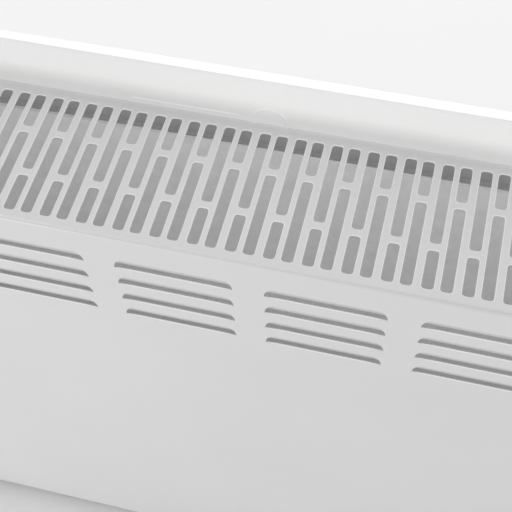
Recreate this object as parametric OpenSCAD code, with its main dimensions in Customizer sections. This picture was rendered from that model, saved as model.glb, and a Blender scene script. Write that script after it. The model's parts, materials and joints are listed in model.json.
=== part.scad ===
// Electric convector heater: a bent sheet-steel casing with a slotted grille on top and
// pressed louvres in the back, a front panel that rises above the grille, two end caps,
// a finned heating element, and the controls in the right-hand end.
// Origin: on the floor under the middle of the body. +X right seen from the front,
// +Y towards the back, +Z up. Millimetres.

/* [Body] */
// Overall width across the two end caps
body_w = 600; // [460:70:880]
// Depth from the back face to the inner face of the front panel
body_d = 77; // [77:1:90]
// Height of the back panel
panel_h = 375; // [360:5:450]
// Gap between the floor and the back panel
floor_gap = 10; // [8:1:14]
// Thickness of the casing sheet
sheet_t = 0.8; // [0.7:0.1:1.0]
// Thickness of the front panel sheet
front_t = 1.0; // [0.8:0.1:1.2]

/* [Front panel] */
// Height of the front panel above the grille
band_h = 35.5; // [24:0.5:40]
// Depth of the folded lip along the top of the front panel
lip_d = 6; // [4:0.5:8]

/* [Grille] */
// Pitch of a pair of slot columns
slot_pitch = 17; // [16:0.5:20]
// Step from a long-behind column to the next short-behind column
slot_step = 8; // [7.5:0.5:9]
// Width of a slot
slot_w = 5.2; // [5:0.1:6]
// Length of a slot column, front to back
slot_run = 67; // [60:1:67]
// Length of the short slot in each column
slot_short = 19.5; // [15:0.5:28]
// Bridge of sheet between the two slots of a column
slot_bridge = 3.9; // [2.5:0.1:6]
// Sheet left behind the slots
slot_margin = 5; // [4:0.5:8]

/* [Louvres] */
// Length of one louvre
louvre_len = 55.5; // [50:0.5:58]
// Pitch of the louvre groups along the back
group_pitch = 70; // [66:1:80]
// Number of louvres in a group
louvre_rows = 4; // [2:1:5]
// Pitch of the louvres in a group
louvre_pitch = 13.9; // [12:0.1:16]
// Height of one louvre opening
louvre_h = 6.4; // [6:0.1:8]
// Depth that a louvre is pressed in
louvre_d = 2.4; // [2.2:0.1:4]
// Grille level down to the first louvre's cut edge
louvre_top = 24; // [20:0.5:40]

/* [Heating element] */
// Height of the heating element's axis above the floor
element_z = 110; // [90:5:140]
// Radius of the element's fins
fin_r = 24; // [20:1:26]
// Radius of the sheathed rod
rod_r = 4; // [3.5:0.25:4.5]

/* [Controls] */
// Radius of the thermostat knob
knob_r = 17; // [15:1:20]
// Height of the knob's axis above the floor
knob_z = 335; // [320:5:345]
// Tilt of a rocker in its off position
rocker_tilt = 10; // [6:1:12]

/* [Mains lead] */
// Radius of the mains cable
cable_r = 3.6; // [3.2:0.1:4]

/* [Hidden] */
$fn = 48;

gap = 0.1;
cap_w = 12;
cap_wall = 2;
cap_lap = 8;
half_w = body_w / 2;
casing_x = half_w - cap_w + cap_lap;

y_back = (body_d + front_t) / 2;
y_back_in = y_back - sheet_t;
y_front_in = y_back - body_d;
y_front = y_front_in - front_t;
z_bottom = floor_gap;
z_grille = floor_gap + panel_h;
z_top = z_grille + band_h;
bend_r = 2;
flange_d = 12;
front_flange_h = 12;
front_flange_gap = 0.7;

grille_half = half_w - 27;
groups = floor(2 * grille_half / group_pitch + 0.25);
slot_chamfer = 1.3;

cap_z0 = 3;
cap_over = 2.2;
cap_slope_y = y_front + 12;
cap_corner = 5;

plate_x = half_w - 38;
plate_flange = 12;
plate_z0 = 40;
plate_z1 = z_grille - 13;
plate_step_z = z_grille - louvre_top - louvre_rows * louvre_pitch - 8;
plate_setback = 6;
shield_y = y_front_in + 10;
shield_z0 = 60;
shield_z1 = z_grille - 6;
shield_hem = 3;

element_y = 4;
fin_count = 12;
fin_t = 1.6;
core_r = 7;
fins_half = plate_x - 22;
rod_half = plate_x + 10;
fit_gap = 0.05;
insulator_r = 5.5;
insulator_len = 8;
terminal_r = 1.5;
terminal_len = 9;
bush_r = 7;
bush_flange_r = 10;
bush_flange_t = 2;

wall_x = half_w - 2.5;
control_y = 0;
thermo_w = 34;
thermo_x0 = plate_x + 14;
thermo_x1 = wall_x - 2;
shaft_r = 3;
shaft_x0 = thermo_x0 + 6;
shaft_x1 = half_w + 13;
knob_x0 = half_w + 1;
knob_h = 14;
lens_z = knob_z - 35;
lens_r = 3.8;
power_z = lens_z - 25;
heat_z = power_z - 30;
rocker_w = 10.2;
rocker_pivot_x = half_w - 3.8;
rocker_reach = 9.4;
pin_r = 1.5;
switch_w = 12.8;
switch_h = 21;
bezel_t = 1.5;

bulb_r = 3;
bulb_x = plate_x + 7;
bulb_y = 18;
bulb_z0 = 48;
bulb_z1 = 108;
capillary_r = 0.8;

cutout_z = 190;
cutout_r = 9;
cutout_h = 9;
ear_span = 15;

block_z = 66;
block_y = -8;
block_size = [15, 33, 17];
block_x = plate_x + 0.9;
stud_y = 24;
stud_z = 130;

gland_x = half_w - 22;
gland_z = 30;
gland_r = 6;
drop_r = 12;
floor_y = y_back + 14 + 2 * drop_r;
floor_run = 4;
turn_r = 28;
turn_run = 10;
bend_grow = 0.1;
z_lead = cable_r + bend_grow;
plug_r = 18;
plug_len = 36;
plug_pin_r = 2.4;
plug_pin_len = 19;
plug_pin_gap = 19;
plug_stem_r = 2;
plug_x = gland_x + 35;
plug_y = floor_y + floor_run + 3 * turn_r;
lift_r = 20;
lift_a = 45;
lift_run = (plug_r - z_lead - 2 * lift_r * (1 - cos(lift_a))) / sin(lift_a);

foot_r = 5;
foot_y = 28;
buffer_x = half_w - 52;
buffer_h = 12;
keyhole_x = 200;
keyhole_z = z_grille - 90;
keyhole_r = 5;
keyhole_slot_r = 2.5;
keyhole_rise = 12;
screw_r = 1.6;
screw_head_r = 3.2;
screw_head_h = 2;
cap_screw_x = half_w - 8;
cap_screw_z = [60, z_grille - 55];
plate_screw_x = plate_x + 8;
plate_screw_z = [90, 270];
shield_screw_z = [90, z_grille - 35];
guard_screw_x = [-2 * half_w / 3, 0, 2 * half_w / 3];
guard_z0 = z_bottom + front_t;

steel_white = [0.94, 0.94, 0.93];
zinc = [0.72, 0.73, 0.74];
cap_white = [0.9, 0.9, 0.89];
dark = [0.2, 0.2, 0.21];

// ---- helpers ----

// A profile drawn in (Y, Z) and extruded along X from x0 to x1
module along_x(x0, x1) {
    translate([x0, 0, 0]) rotate([90, 0, 90]) linear_extrude(height = x1 - x0) children();
}

// A cylinder along X, Y or Z that starts at p
module rod_x(p, r, len) { translate(p) rotate([0, 90, 0]) cylinder(h = len, r = r); }
module rod_y(p, r, len) { translate(p) rotate([-90, 0, 0]) cylinder(h = len, r = r); }
module rod_z(p, r, len) { translate(p) cylinder(h = len, r = r); }

// A 2D rectangle given by two opposite corners
module rect(a, b) { translate(a) square([b[0] - a[0], b[1] - a[1]]); }

// A box given by two opposite corners
module box(a, b) { translate(a) cube([b[0] - a[0], b[1] - a[1], b[2] - a[2]]); }

// A quarter ring of sheet, bend radius r outside, centred at c, in quadrant (sx, sy)
module bend(c, r, t, sx, sy) {
    translate(c) intersection() {
        difference() {
            circle(r = r);
            circle(r = r - t);
        }
        rect([min(0, sx * r), min(0, sy * r)], [max(0, sx * r), max(0, sy * r)]);
    }
}

// A round cord through a list of points, with a ball larger by grow at each corner
module cord(pts, r, grow) {
    for (i = [0 : len(pts) - 2]) {
        v = pts[i + 1] - pts[i];
        translate(pts[i]) rotate([0, acos(v[2] / norm(v)), atan2(v[1], v[0])])
            cylinder(h = norm(v), r = r, $fn = 24);
        if (i > 0) translate(pts[i]) sphere(r = r + grow, $fn = 24);
    }
}

// A bend of round cord, a little fatter than the straight cord that runs into its ends.
// It turns about c from a0 to a1 in the plane that rot gives.
module cord_bend(c, rot, turn, r, a0, a1) {
    translate(c) rotate(rot) rotate([0, 0, a0]) rotate_extrude(angle = a1 - a0)
        translate([turn, 0]) circle(r = r + bend_grow);
}

// A screw whose head stands at p and whose shank runs along +Y turned by rot
module screw(p, rot, len) {
    translate(p) rotate(rot) {
        difference() {
            translate([0, 0, -screw_head_h]) cylinder(h = screw_head_h, r = screw_head_r);
            translate([-0.4, -2, -screw_head_h - 1]) cube([0.8, 4, 1.9]);
            translate([-2, -0.4, -screw_head_h - 1]) cube([4, 0.8, 1.9]);
        }
        cylinder(h = len, r = screw_r);
    }
}

// The x positions of the slot columns: short slot behind, and long slot behind
function column_x(offset) = [for (k = [-floor(grille_half / slot_pitch) - 1 :
    floor(grille_half / slot_pitch) + 1])
    if (abs(k * slot_pitch + offset) <= grille_half + 1) k * slot_pitch + offset];

// A slot with cut corners, from y0 to y1
module slot(x, y0, y1) {
    w = slot_w / 2;
    c = slot_chamfer;
    polygon([[x - w, y0 + c], [x - w + c, y0], [x + w - c, y0], [x + w, y0 + c],
        [x + w, y1 - c], [x + w - c, y1], [x - w + c, y1], [x - w, y1 - c]]);
}

module slot_pattern() {
    y1 = y_back - slot_margin;
    y0 = y1 - slot_run;
    offset_short = slot_pitch / 2;
    for (x = column_x(offset_short)) {
        slot(x, y1 - slot_short, y1);
        slot(x, y0, y1 - slot_short - slot_bridge);
    }
    for (x = column_x(offset_short - slot_step)) {
        slot(x, y0 + slot_short + slot_bridge, y1);
        slot(x, y0, y0 + slot_short);
    }
}

// Every louvre: children(0) is placed with its cut edge at (x of its middle, z)
module each_louvre() {
    for (g = [0 : groups - 1], i = [0 : louvre_rows - 1])
        translate([(g - (groups - 1) / 2) * group_pitch, y_back,
            z_grille - louvre_top - i * louvre_pitch]) children();
}

module louvre_hood() {
    along_x(-louvre_len / 2, louvre_len / 2)
        polygon([[0, louvre_h], [-sheet_t, louvre_h], [-louvre_d - sheet_t, 0], [0, 0]]);
}

module louvre_hollow() {
    along_x(-louvre_len / 2 + sheet_t, louvre_len / 2 - sheet_t)
        polygon([[1, louvre_h], [0, louvre_h], [-louvre_d, 0], [1, 0]]);
}

module keyhole(x) {
    rod_y([x, y_back_in - 1, keyhole_z], keyhole_r, 3);
    rod_y([x, y_back_in - 1, keyhole_z + keyhole_rise], keyhole_slot_r, 3);
    box([x - keyhole_slot_r, y_back_in - 1, keyhole_z],
        [x + keyhole_slot_r, y_back + 2, keyhole_z + keyhole_rise]);
}

// ---- casing ----

module rear_casing() {
    flange_y = y_front_in + front_flange_gap;
    color(steel_white) difference() {
        union() {
            along_x(-casing_x, casing_x) {
                rect([y_back_in, z_bottom + bend_r], [y_back, z_grille - bend_r]);
                rect([flange_y + bend_r, z_grille - sheet_t], [y_back - bend_r, z_grille]);
                rect([flange_y, z_grille - front_flange_h],
                    [flange_y + sheet_t, z_grille - bend_r]);
                rect([y_back - flange_d, z_bottom], [y_back - bend_r, z_bottom + sheet_t]);
                bend([y_back - bend_r, z_grille - bend_r], bend_r, sheet_t, 1, 1);
                bend([flange_y + bend_r, z_grille - bend_r], bend_r, sheet_t, -1, 1);
                bend([y_back - bend_r, z_bottom + bend_r], bend_r, sheet_t, 1, -1);
            }
            each_louvre() louvre_hood();
        }
        each_louvre() louvre_hollow();
        translate([0, 0, z_grille - sheet_t - 1]) linear_extrude(height = sheet_t + 2)
            slot_pattern();
        for (s = [-1, 1]) {
            keyhole(s * keyhole_x);
            for (z = cap_screw_z)
                rod_y([s * cap_screw_x, y_back - 3, z], screw_r + gap, 4);
            for (z = plate_screw_z)
                rod_y([s * plate_screw_x, y_back - 3, z], screw_r + gap, 4);
            for (z = buffer_z())
                rod_y([s * buffer_x, y_back - 3, z], 2 + gap, 4);
        }
        for (x = guard_screw_x)
            rod_z([x, y_back - flange_d / 2, z_bottom - 1], screw_r + gap, 4);
        rod_y([gland_x, y_back - 3, gland_z], gland_r + gap, 4);
    }
}

// A plain pressed ring and bar on the band above the grille
module band_marks() {
    mark_h = 0.4;
    line_t = 1.2;
    ring_x = 8;
    ring_r = 8.6;
    bar_x0 = 23;
    bar_x1 = 75;
    mark_z = z_grille + 3;
    difference() {
        rod_y([ring_x, y_front_in - 0.2, mark_z], ring_r, mark_h + 0.2);
        rod_y([ring_x, y_front_in - 1, mark_z], ring_r - line_t, 3);
    }
    box([bar_x0, y_front_in - 0.2, mark_z], [bar_x1, y_front_in + mark_h, mark_z + line_t]);
}

module front_panel() {
    color(steel_white) difference() {
        union() {
            along_x(-casing_x, casing_x) {
                rect([y_front, z_bottom + bend_r], [y_front_in, z_top - bend_r]);
                rect([y_front + bend_r, z_top - front_t], [y_front + lip_d, z_top]);
                rect([y_front + bend_r, z_bottom], [y_front + flange_d, z_bottom + front_t]);
                bend([y_front + bend_r, z_top - bend_r], bend_r, front_t, -1, 1);
                bend([y_front + bend_r, z_bottom + bend_r], bend_r, front_t, -1, -1);
            }
            band_marks();
        }
        for (x = guard_screw_x)
            rod_z([x, y_front + flange_d / 2, z_bottom - 1], screw_r + gap, 4);
    }
}

// Outline of an end cap in (Y, Z) with its corners cut to a short arc
function arc_at(c, r, a0, a1) = [for (i = [0 : 4]) let (a = a0 + (a1 - a0) * i / 4)
    [c[0] + r * cos(a), c[1] + r * sin(a)]];

module cap_outline() {
    y0 = y_front - cap_over;
    y1 = y_back + cap_over;
    z1 = z_grille + cap_over + 1;
    z2 = z_top + cap_over;
    c = cap_corner;
    slope = atan2(z2 - z1, cap_slope_y - y1);
    polygon(concat(
        arc_at([y0 + c, cap_z0 + c], c, 180, 270),
        arc_at([y1 - c, cap_z0 + c], c, 270, 360),
        arc_at([y1 - c, z1 - c], c, 0, slope - 90),
        arc_at([cap_slope_y, z2 - c], c, slope - 90, 90),
        arc_at([y0 + c, z2 - c], c, 90, 180)));
}

// The cap on the right-hand end; the left one is its mirror image
module cap_shell() {
    x0 = half_w - cap_w;
    difference() {
        along_x(x0, half_w) cap_outline();
        box([x0 - 1, y_front - 2 * gap, cap_z0 + cap_wall],
            [wall_x, y_back + 2 * gap, z_grille + gap]);
        box([x0 - 1, y_front - 2 * gap, z_grille - 1],
            [wall_x, y_front_in + gap, z_top + gap]);
        box([x0 - 1, y_front - 2 * gap, z_top - bend_r - gap],
            [wall_x, y_front + lip_d + gap, z_top + gap]);
        for (z = cap_screw_z)
            rod_y([cap_screw_x, y_back - 1, z], screw_r + gap, 6);
        for (y = [-foot_y, foot_y])
            rod_z([half_w - cap_w / 2, y, cap_z0 - 1], 2 + gap, 5);
    }
}

module left_end_cap() {
    color(cap_white) mirror([1, 0, 0]) cap_shell();
}

module right_end_cap() {
    color(cap_white) difference() {
        cap_shell();
        rod_x([wall_x - 1, control_y, knob_z], shaft_r + 0.6, 5);
        rod_x([wall_x - 1, control_y, lens_z], lens_r + gap, 5);
        for (s = [-1, 1])
            rod_x([wall_x - 1, control_y + s * 11, knob_z], screw_r + gap, 5);
        for (z = [power_z, heat_z])
            box([wall_x - 1, control_y - switch_w / 2 - gap, z - switch_h / 2 - gap],
                [half_w + 1, control_y + switch_w / 2 + gap, z + switch_h / 2 + gap]);
    }
}

module inlet_guard() {
    x1 = casing_x - 2;
    slot_y = [for (i = [0 : 5]) y_front_in + 17 + i * 8];
    cell = 2 * x1 / 10;
    color(steel_white) difference() {
        box([-x1, y_front + bend_r + gap, guard_z0],
            [x1, y_back - bend_r - gap, guard_z0 + sheet_t]);
        for (y = slot_y, i = [0 : 9])
            box([-x1 + i * cell + 5, y, guard_z0 - 1],
                [-x1 + (i + 1) * cell - 5, y + 4.5, guard_z0 + 2]);
        for (x = guard_screw_x, y = [y_front + flange_d / 2, y_back - flange_d / 2])
            rod_z([x, y, guard_z0 - 1], screw_r + gap, 4);
    }
}

// ---- inside ----

module heat_shield() {
    x1 = plate_x + plate_flange;
    color(zinc) difference() {
        union() {
            box([-x1, shield_y - sheet_t, shield_z0], [x1, shield_y, shield_z1]);
            box([-x1, shield_y - shield_hem, shield_z1 - sheet_t], [x1, shield_y, shield_z1]);
            box([-x1, shield_y - shield_hem, shield_z0], [x1, shield_y, shield_z0 + sheet_t]);
        }
        for (s = [-1, 1], z = shield_screw_z)
            rod_y([s * plate_screw_x, shield_y - 2, z], screw_r + gap, 4);
    }
}

// The inner plate of the right-hand end: a channel that carries the element
module inner_plate() {
    y0 = shield_y + gap;
    y1 = y_back_in - gap;
    difference() {
        union() {
            along_x(plate_x, plate_x + sheet_t)
                polygon([[y0, plate_z0], [y1, plate_z0], [y1, plate_step_z],
                    [y1 - plate_setback, plate_step_z + plate_setback],
                    [y1 - plate_setback, plate_z1], [y0, plate_z1]]);
            box([plate_x, y0, plate_z0], [plate_x + plate_flange, y0 + sheet_t, plate_z1]);
            box([plate_x, y1 - sheet_t, plate_z0],
                [plate_x + plate_flange, y1, plate_step_z]);
        }
        rod_x([plate_x - 1, element_y, element_z], bush_r + gap, 3);
        for (z = plate_screw_z)
            rod_y([plate_screw_x, y1 - 2, z], screw_r + gap, 4);
        for (z = shield_screw_z)
            rod_y([plate_screw_x, y0 - 1, z], screw_r + gap, 4);
    }
}

module left_inner_plate() {
    color(zinc) mirror([1, 0, 0]) inner_plate();
}

module right_inner_plate() {
    color(zinc) difference() {
        inner_plate();
        for (s = [-1, 1])
            rod_x([plate_x - 1, element_y + s * ear_span, cutout_z], screw_r + gap, 3);
        rod_x([plate_x - 1, stud_y, stud_z], 2 + gap, 3);
        rod_x([plate_x - 1, block_y, block_z], screw_r + gap, 3);
    }
}

module element_fins() {
    color("silver") translate([0, element_y, element_z]) difference() {
        along_x(-fins_half, fins_half) difference() {
            union() {
                circle(r = core_r);
                for (i = [0 : fin_count - 1]) rotate(360 * i / fin_count)
                    rect([0, -fin_t / 2], [fin_r - (i % 3 == 0 ? 6 : 0), fin_t / 2]);
            }
            circle(r = rod_r + fit_gap);
        }
    }
}

module element_rod() {
    color(zinc) rod_x([-rod_half, element_y, element_z], rod_r, 2 * rod_half);
}

module element_insulators() {
    color("ivory") for (s = [-1, 1])
        translate([s * rod_half, element_y, element_z]) rotate([0, s * 90, 0])
            cylinder(h = insulator_len, r1 = insulator_r, r2 = insulator_r - 2);
}

module element_terminals() {
    color("silver") for (s = [-1, 1])
        translate([s * (rod_half + insulator_len), element_y, element_z])
            rotate([0, s * 90, 0]) {
                cylinder(h = terminal_len, r = terminal_r);
                cylinder(h = 1.5, r = terminal_r + 1.5);
            }
}

module element_bushes() {
    color([0.75, 0.3, 0.2]) for (s = [-1, 1])
        translate([s * plate_x, element_y, element_z]) rotate([0, s * 90, 0])
            difference() {
                union() {
                    translate([0, 0, -bush_flange_t])
                        cylinder(h = bush_flange_t, r = bush_flange_r);
                    cylinder(h = 4, r = bush_r);
                }
                translate([0, 0, -5]) cylinder(h = 12, r = rod_r + fit_gap);
            }
}

// ---- controls ----

module thermostat_body() {
    y0 = control_y - thermo_w / 2;
    z0 = knob_z - thermo_w / 2;
    color(dark) difference() {
        union() {
            box([thermo_x0, y0, z0], [thermo_x1, y0 + thermo_w, z0 + thermo_w]);
            rod_x([thermo_x1 - 1, control_y, knob_z], 5.5, wall_x - thermo_x1 + 1 - gap);
            for (s = [-1, 1])
                box([thermo_x0 - 6, control_y + s * 10 - 3.1, knob_z - 0.4],
                    [thermo_x0 + 1, control_y + s * 10 + 3.1, knob_z + 0.4]);
        }
        rod_x([shaft_x0, control_y, knob_z], shaft_r + fit_gap, 60);
        for (s = [-1, 1])
            rod_x([thermo_x1 - 8, control_y + s * 11, knob_z], screw_r + gap, 20);
    }
}

module thermostat_shaft() {
    flat = 0.8;
    color("silver") difference() {
        rod_x([shaft_x0 + 0.3, control_y, knob_z], shaft_r, shaft_x1 - shaft_x0 - 0.3);
        box([knob_x0 + 4, control_y - 5, knob_z + shaft_r - flat],
            [shaft_x1 + 1, control_y + 5, knob_z + 5]);
    }
}

module thermostat_knob() {
    grip_count = 24;
    knob_hollow = 1.6;
    color(dark) difference() {
        union() {
            rod_x([knob_x0, control_y, knob_z], knob_r, 3);
            rod_x([knob_x0 + 3, control_y, knob_z], knob_r - 2.5, knob_h - 3);
            box([knob_x0 + 3, control_y - 2, knob_z],
                [knob_x0 + knob_h + 1, control_y + 2, knob_z + knob_r - 2]);
        }
        difference() {
            rod_x([knob_x0 - 1, control_y, knob_z], shaft_r + fit_gap, knob_h);
            box([knob_x0 + 4, control_y - 5, knob_z + shaft_r - 0.75],
                [shaft_x1 + 1, control_y + 5, knob_z + 5]);
        }
        difference() {
            rod_x([knob_x0 - 1, control_y, knob_z], knob_r - 2, knob_hollow + 1);
            rod_x([knob_x0 - 1, control_y, knob_z], shaft_r + 3, knob_hollow + 1);
        }
        for (i = [0 : grip_count - 1]) rotate_about_knob(360 * (i + 0.5) / grip_count)
            rod_x([knob_x0 + 3.5, control_y, knob_z + knob_r - 2.1], 1, knob_h);
    }
}

module rotate_about_knob(a) {
    translate([0, control_y, knob_z]) rotate([a, 0, 0])
        translate([0, -control_y, -knob_z]) children();
}

module capillary_tube() {
    color("peru") cord([[thermo_x0 + 10, bulb_y - 5, knob_z - thermo_w / 2],
        [thermo_x0 + 10, bulb_y - 5, knob_z - thermo_w / 2 - 12],
        [bulb_x, bulb_y, power_z], [bulb_x, bulb_y, bulb_z1]], capillary_r, 0.25);
}

module sensor_bulb() {
    color("peru") {
        rod_z([bulb_x, bulb_y, bulb_z0], bulb_r, bulb_z1 - bulb_z0 - 4);
        translate([bulb_x, bulb_y, bulb_z1 - 4]) cylinder(h = 4, r1 = bulb_r, r2 = 1);
    }
}

module bulb_clip() {
    z0 = (bulb_z0 + bulb_z1) / 2 - 6;
    x0 = plate_x + sheet_t;
    color(zinc) difference() {
        union() {
            box([x0, bulb_y - 9, z0], [x0 + sheet_t, bulb_y + 9, z0 + 10]);
            rod_z([bulb_x, bulb_y, z0], bulb_r + 1, 10);
            box([x0, bulb_y - 1, z0], [bulb_x, bulb_y + 1, z0 + 10]);
        }
        rod_z([bulb_x, bulb_y, z0 - 1], bulb_r + fit_gap, 12);
    }
}

module switch_housing(z) {
    color(dark) translate([0, control_y, z]) difference() {
        union() {
            box([wall_x - 17, -switch_w / 2, -switch_h / 2],
                [half_w + 0.5, switch_w / 2, switch_h / 2]);
            box([half_w, -switch_w / 2 - 1.3, -switch_h / 2 - 1.3],
                [half_w + bezel_t, switch_w / 2 + 1.3, switch_h / 2 + 1.3]);
            for (v = [-6, 6])
                box([wall_x - 25, -3.1, v - 0.4], [wall_x - 16, 3.1, v + 0.4]);
        }
        box([rocker_pivot_x - 6, -rocker_w / 2 - 0.2, -rocker_reach - 0.2],
            [half_w + 5, rocker_w / 2 + 0.2, rocker_reach + 0.2]);
        rod_y([rocker_pivot_x, -6, 0], pin_r + fit_gap, 12);
    }
}

// A rocker at rest in its off position, turned about its pivot
module rocker(z) {
    crown = half_w + 0.8 - rocker_pivot_x;
    translate([rocker_pivot_x, control_y, z]) rotate([0, rocker_tilt, 0]) {
        intersection() {
            rod_y([0, -rocker_w / 2, 0], rocker_reach, rocker_w);
            translate([0, rocker_w / 2, 0]) rotate([90, 0, 0])
                linear_extrude(height = rocker_w)
                    polygon([[-2, -3], [crown - 1.4, -9], [crown + 1.4, -8.6], [crown, 0],
                        [crown + 1.4, 8.6], [crown - 1.4, 9], [-2, 3]]);
        }
        rod_y([0, -rocker_w / 2 - 0.8, 0], pin_r, rocker_w + 1.6);
    }
}

module power_switch_housing() { switch_housing(power_z); }

module heat_switch_housing() { switch_housing(heat_z); }

module power_rocker() { color([0.15, 0.15, 0.16]) rocker(power_z); }

module heat_rocker() { color([0.15, 0.15, 0.16]) rocker(heat_z); }

module indicator_lens() {
    stem = half_w - wall_x + 2;
    color("orangered") translate([wall_x - 2, control_y, lens_z]) rotate([0, 90, 0])
        rotate_extrude() {
            rect([0, 0], [lens_r, stem]);
            rect([0, stem], [lens_r + 1, stem + 0.8]);
            intersection() {
                translate([0, stem - 2]) circle(r = 5.2);
                rect([0, stem + 0.8], [lens_r, stem + 4]);
            }
        }
}

module indicator_lamp() {
    color("ivory") rod_x([wall_x - 14, control_y, lens_z], 3, 12 - gap);
}

module thermal_cutout() {
    x0 = plate_x + sheet_t + gap;
    color(dark) difference() {
        union() {
            rod_x([x0, element_y, cutout_z], cutout_r, cutout_h);
            box([x0, element_y - ear_span - 4, cutout_z - 4],
                [x0 + 1, element_y + ear_span + 4, cutout_z + 4]);
            for (s = [-1, 1])
                box([x0 + cutout_h - 1, element_y + s * 5 - 0.4, cutout_z - 3.1],
                    [x0 + cutout_h + 7, element_y + s * 5 + 0.4, cutout_z + 3.1]);
        }
        for (s = [-1, 1])
            rod_x([x0 - 1, element_y + s * ear_span, cutout_z], screw_r + gap, 4);
    }
}

// ---- wiring ----

block_poles = [-10, 0, 10];

module terminal_block() {
    color("ivory") difference() {
        translate([block_x, block_y, block_z] - [0, block_size[1] / 2, block_size[2] / 2])
            cube(block_size);
        for (y = block_poles, dz = [-5, 5])
            rod_x([block_x + 9, block_y + y, block_z + dz], 2.2, 10);
        for (y = block_poles)
            rod_z([block_x + 6, block_y + y, block_z - 12], 1.9, 24);
    }
}

module terminal_screws() {
    color("gold") for (y = block_poles, dz = [-5, 5])
        difference() {
            rod_x([block_x + 9, block_y + y, block_z + dz], 2, 4);
            box([block_x + 12.2, block_y + y - 2, block_z + dz - 0.3],
                [block_x + 14, block_y + y + 2, block_z + dz + 0.3]);
        }
}

module earth_stud() {
    x0 = plate_x - 1.6;
    color("gold") {
        rod_x([x0, stud_y, stud_z], 2, 14);
        difference() {
            translate([plate_x + sheet_t + gap, stud_y, stud_z]) rotate([0, 90, 0])
                cylinder(h = 3.2, r = 4, $fn = 6);
            rod_x([plate_x, stud_y, stud_z], 2 + 0.02, 8);
        }
    }
}

// Live, neutral and earth from the block, and the lead from the cut-out to the thermostat
module internal_wiring() {
    wire_r = 1.1;
    ball = 0.3;
    x_pole = block_x + 6;
    z_pole = block_z + block_size[2] / 2 + wire_r;
    z_tab = cutout_z + 3.1 + wire_r + gap;
    x_tab = wall_x - 21;
    x_out = plate_x + 14;
    x_term = rod_half + insulator_len + terminal_len - 4;
    y_n = block_y + block_poles[0];
    y_l = block_y + block_poles[1];
    y_e = block_y + block_poles[2];
    color([0.55, 0.3, 0.15])
        cord([[x_pole, y_l, z_pole], [x_pole + 5, y_l, 150], [x_pole + 5, -9, 200],
            [x_tab, -5, heat_z - 20], [x_tab, -5, heat_z - 6]], wire_r, ball);
    color([0.2, 0.35, 0.7])
        cord([[x_pole, y_n, z_pole], [x_pole + 6, y_n, 90], [x_term - 1, y_n + 12, 97],
            [x_term, element_y - 1.1, element_z - 2.55]], wire_r, ball);
    color([0.3, 0.6, 0.2])
        cord([[x_pole, y_e, z_pole], [x_out + 2, 10, 88], [x_out + 2, 14, 120],
            [x_out - 4, 18, stud_z + 4], [plate_x + 6.5, stud_y, stud_z + 3.2]],
            wire_r, ball);
    color([0.15, 0.15, 0.15])
        cord([[x_out, element_y + 5, z_tab], [x_out, element_y + 5, z_tab + 12],
            [x_out, 11, 280], [x_out - 4, 11, knob_z - 8],
            [thermo_x0 - 4, 10, knob_z - 1.6]], wire_r, ball);
}

// The sheathed lead: out through the back, down to the floor, round and up to the plug
module mains_cable() {
    yz = [90, 0, 90];
    xy = [0, 0, 0];
    xz = [90, 0, 0];
    lap = 0.5;
    y_bend = y_back + 14;
    y_turn = floor_y + floor_run;
    x_turn = gland_x - turn_r;
    x_u = x_turn - turn_run;
    x_lift = gland_x + lift_r * sin(lift_a);
    z_lift = z_lead + lift_r * (1 - cos(lift_a));
    x_level = gland_x + 2 * lift_r * sin(lift_a) + lift_run * cos(lift_a);
    color([0.93, 0.93, 0.92]) {
        rod_y([gland_x, y_back - 26, gland_z], cable_r, 40 + lap);
        cord_bend([gland_x, y_bend, gland_z - drop_r], yz, drop_r, cable_r, 0, 90);
        rod_z([gland_x, y_bend + drop_r, z_lead + drop_r - lap], cable_r,
            gland_z - z_lead - 2 * drop_r + 2 * lap);
        cord_bend([gland_x, floor_y, z_lead + drop_r], yz, drop_r, cable_r, 180, 270);
        rod_y([gland_x, floor_y - lap, z_lead], cable_r, floor_run + 2 * lap);
        cord_bend([x_turn, y_turn, z_lead], xy, turn_r, cable_r, 0, 90);
        rod_x([x_u - lap, y_turn + turn_r, z_lead], cable_r, turn_run + 2 * lap);
        cord_bend([x_u, y_turn + 2 * turn_r, z_lead], xy, turn_r, cable_r, 90, 270);
        rod_x([x_u - lap, plug_y, z_lead], cable_r, gland_x - x_u + 2 * lap);
        cord_bend([gland_x, plug_y, z_lead + lift_r], xz, lift_r, cable_r, 270, 270 + lift_a);
        translate([x_lift, plug_y, z_lift]) rotate([0, 90 - lift_a, 0])
            translate([0, 0, -lap]) cylinder(h = lift_run + 2 * lap, r = cable_r);
        cord_bend([x_level, plug_y, plug_r - lift_r], xz, lift_r, cable_r, 90, 90 + lift_a);
        rod_x([x_level - lap, plug_y, plug_r], cable_r, plug_x + 8 - x_level + lap);
    }
}

module cable_gland() {
    color(dark) difference() {
        union() {
            rod_y([gland_x, y_back_in - 5, gland_z], gland_r, 6);
            rod_y([gland_x, y_back_in - 5, gland_z], gland_r + 2, 4.9);
            rod_y([gland_x, y_back, gland_z], gland_r + 2.5, 2);
            translate([gland_x, y_back + 2, gland_z]) rotate([-90, 0, 0])
                cylinder(h = 10, r1 = gland_r, r2 = cable_r + 1);
        }
        rod_y([gland_x, y_back - 10, gland_z], cable_r + fit_gap, 40);
    }
}

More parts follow.
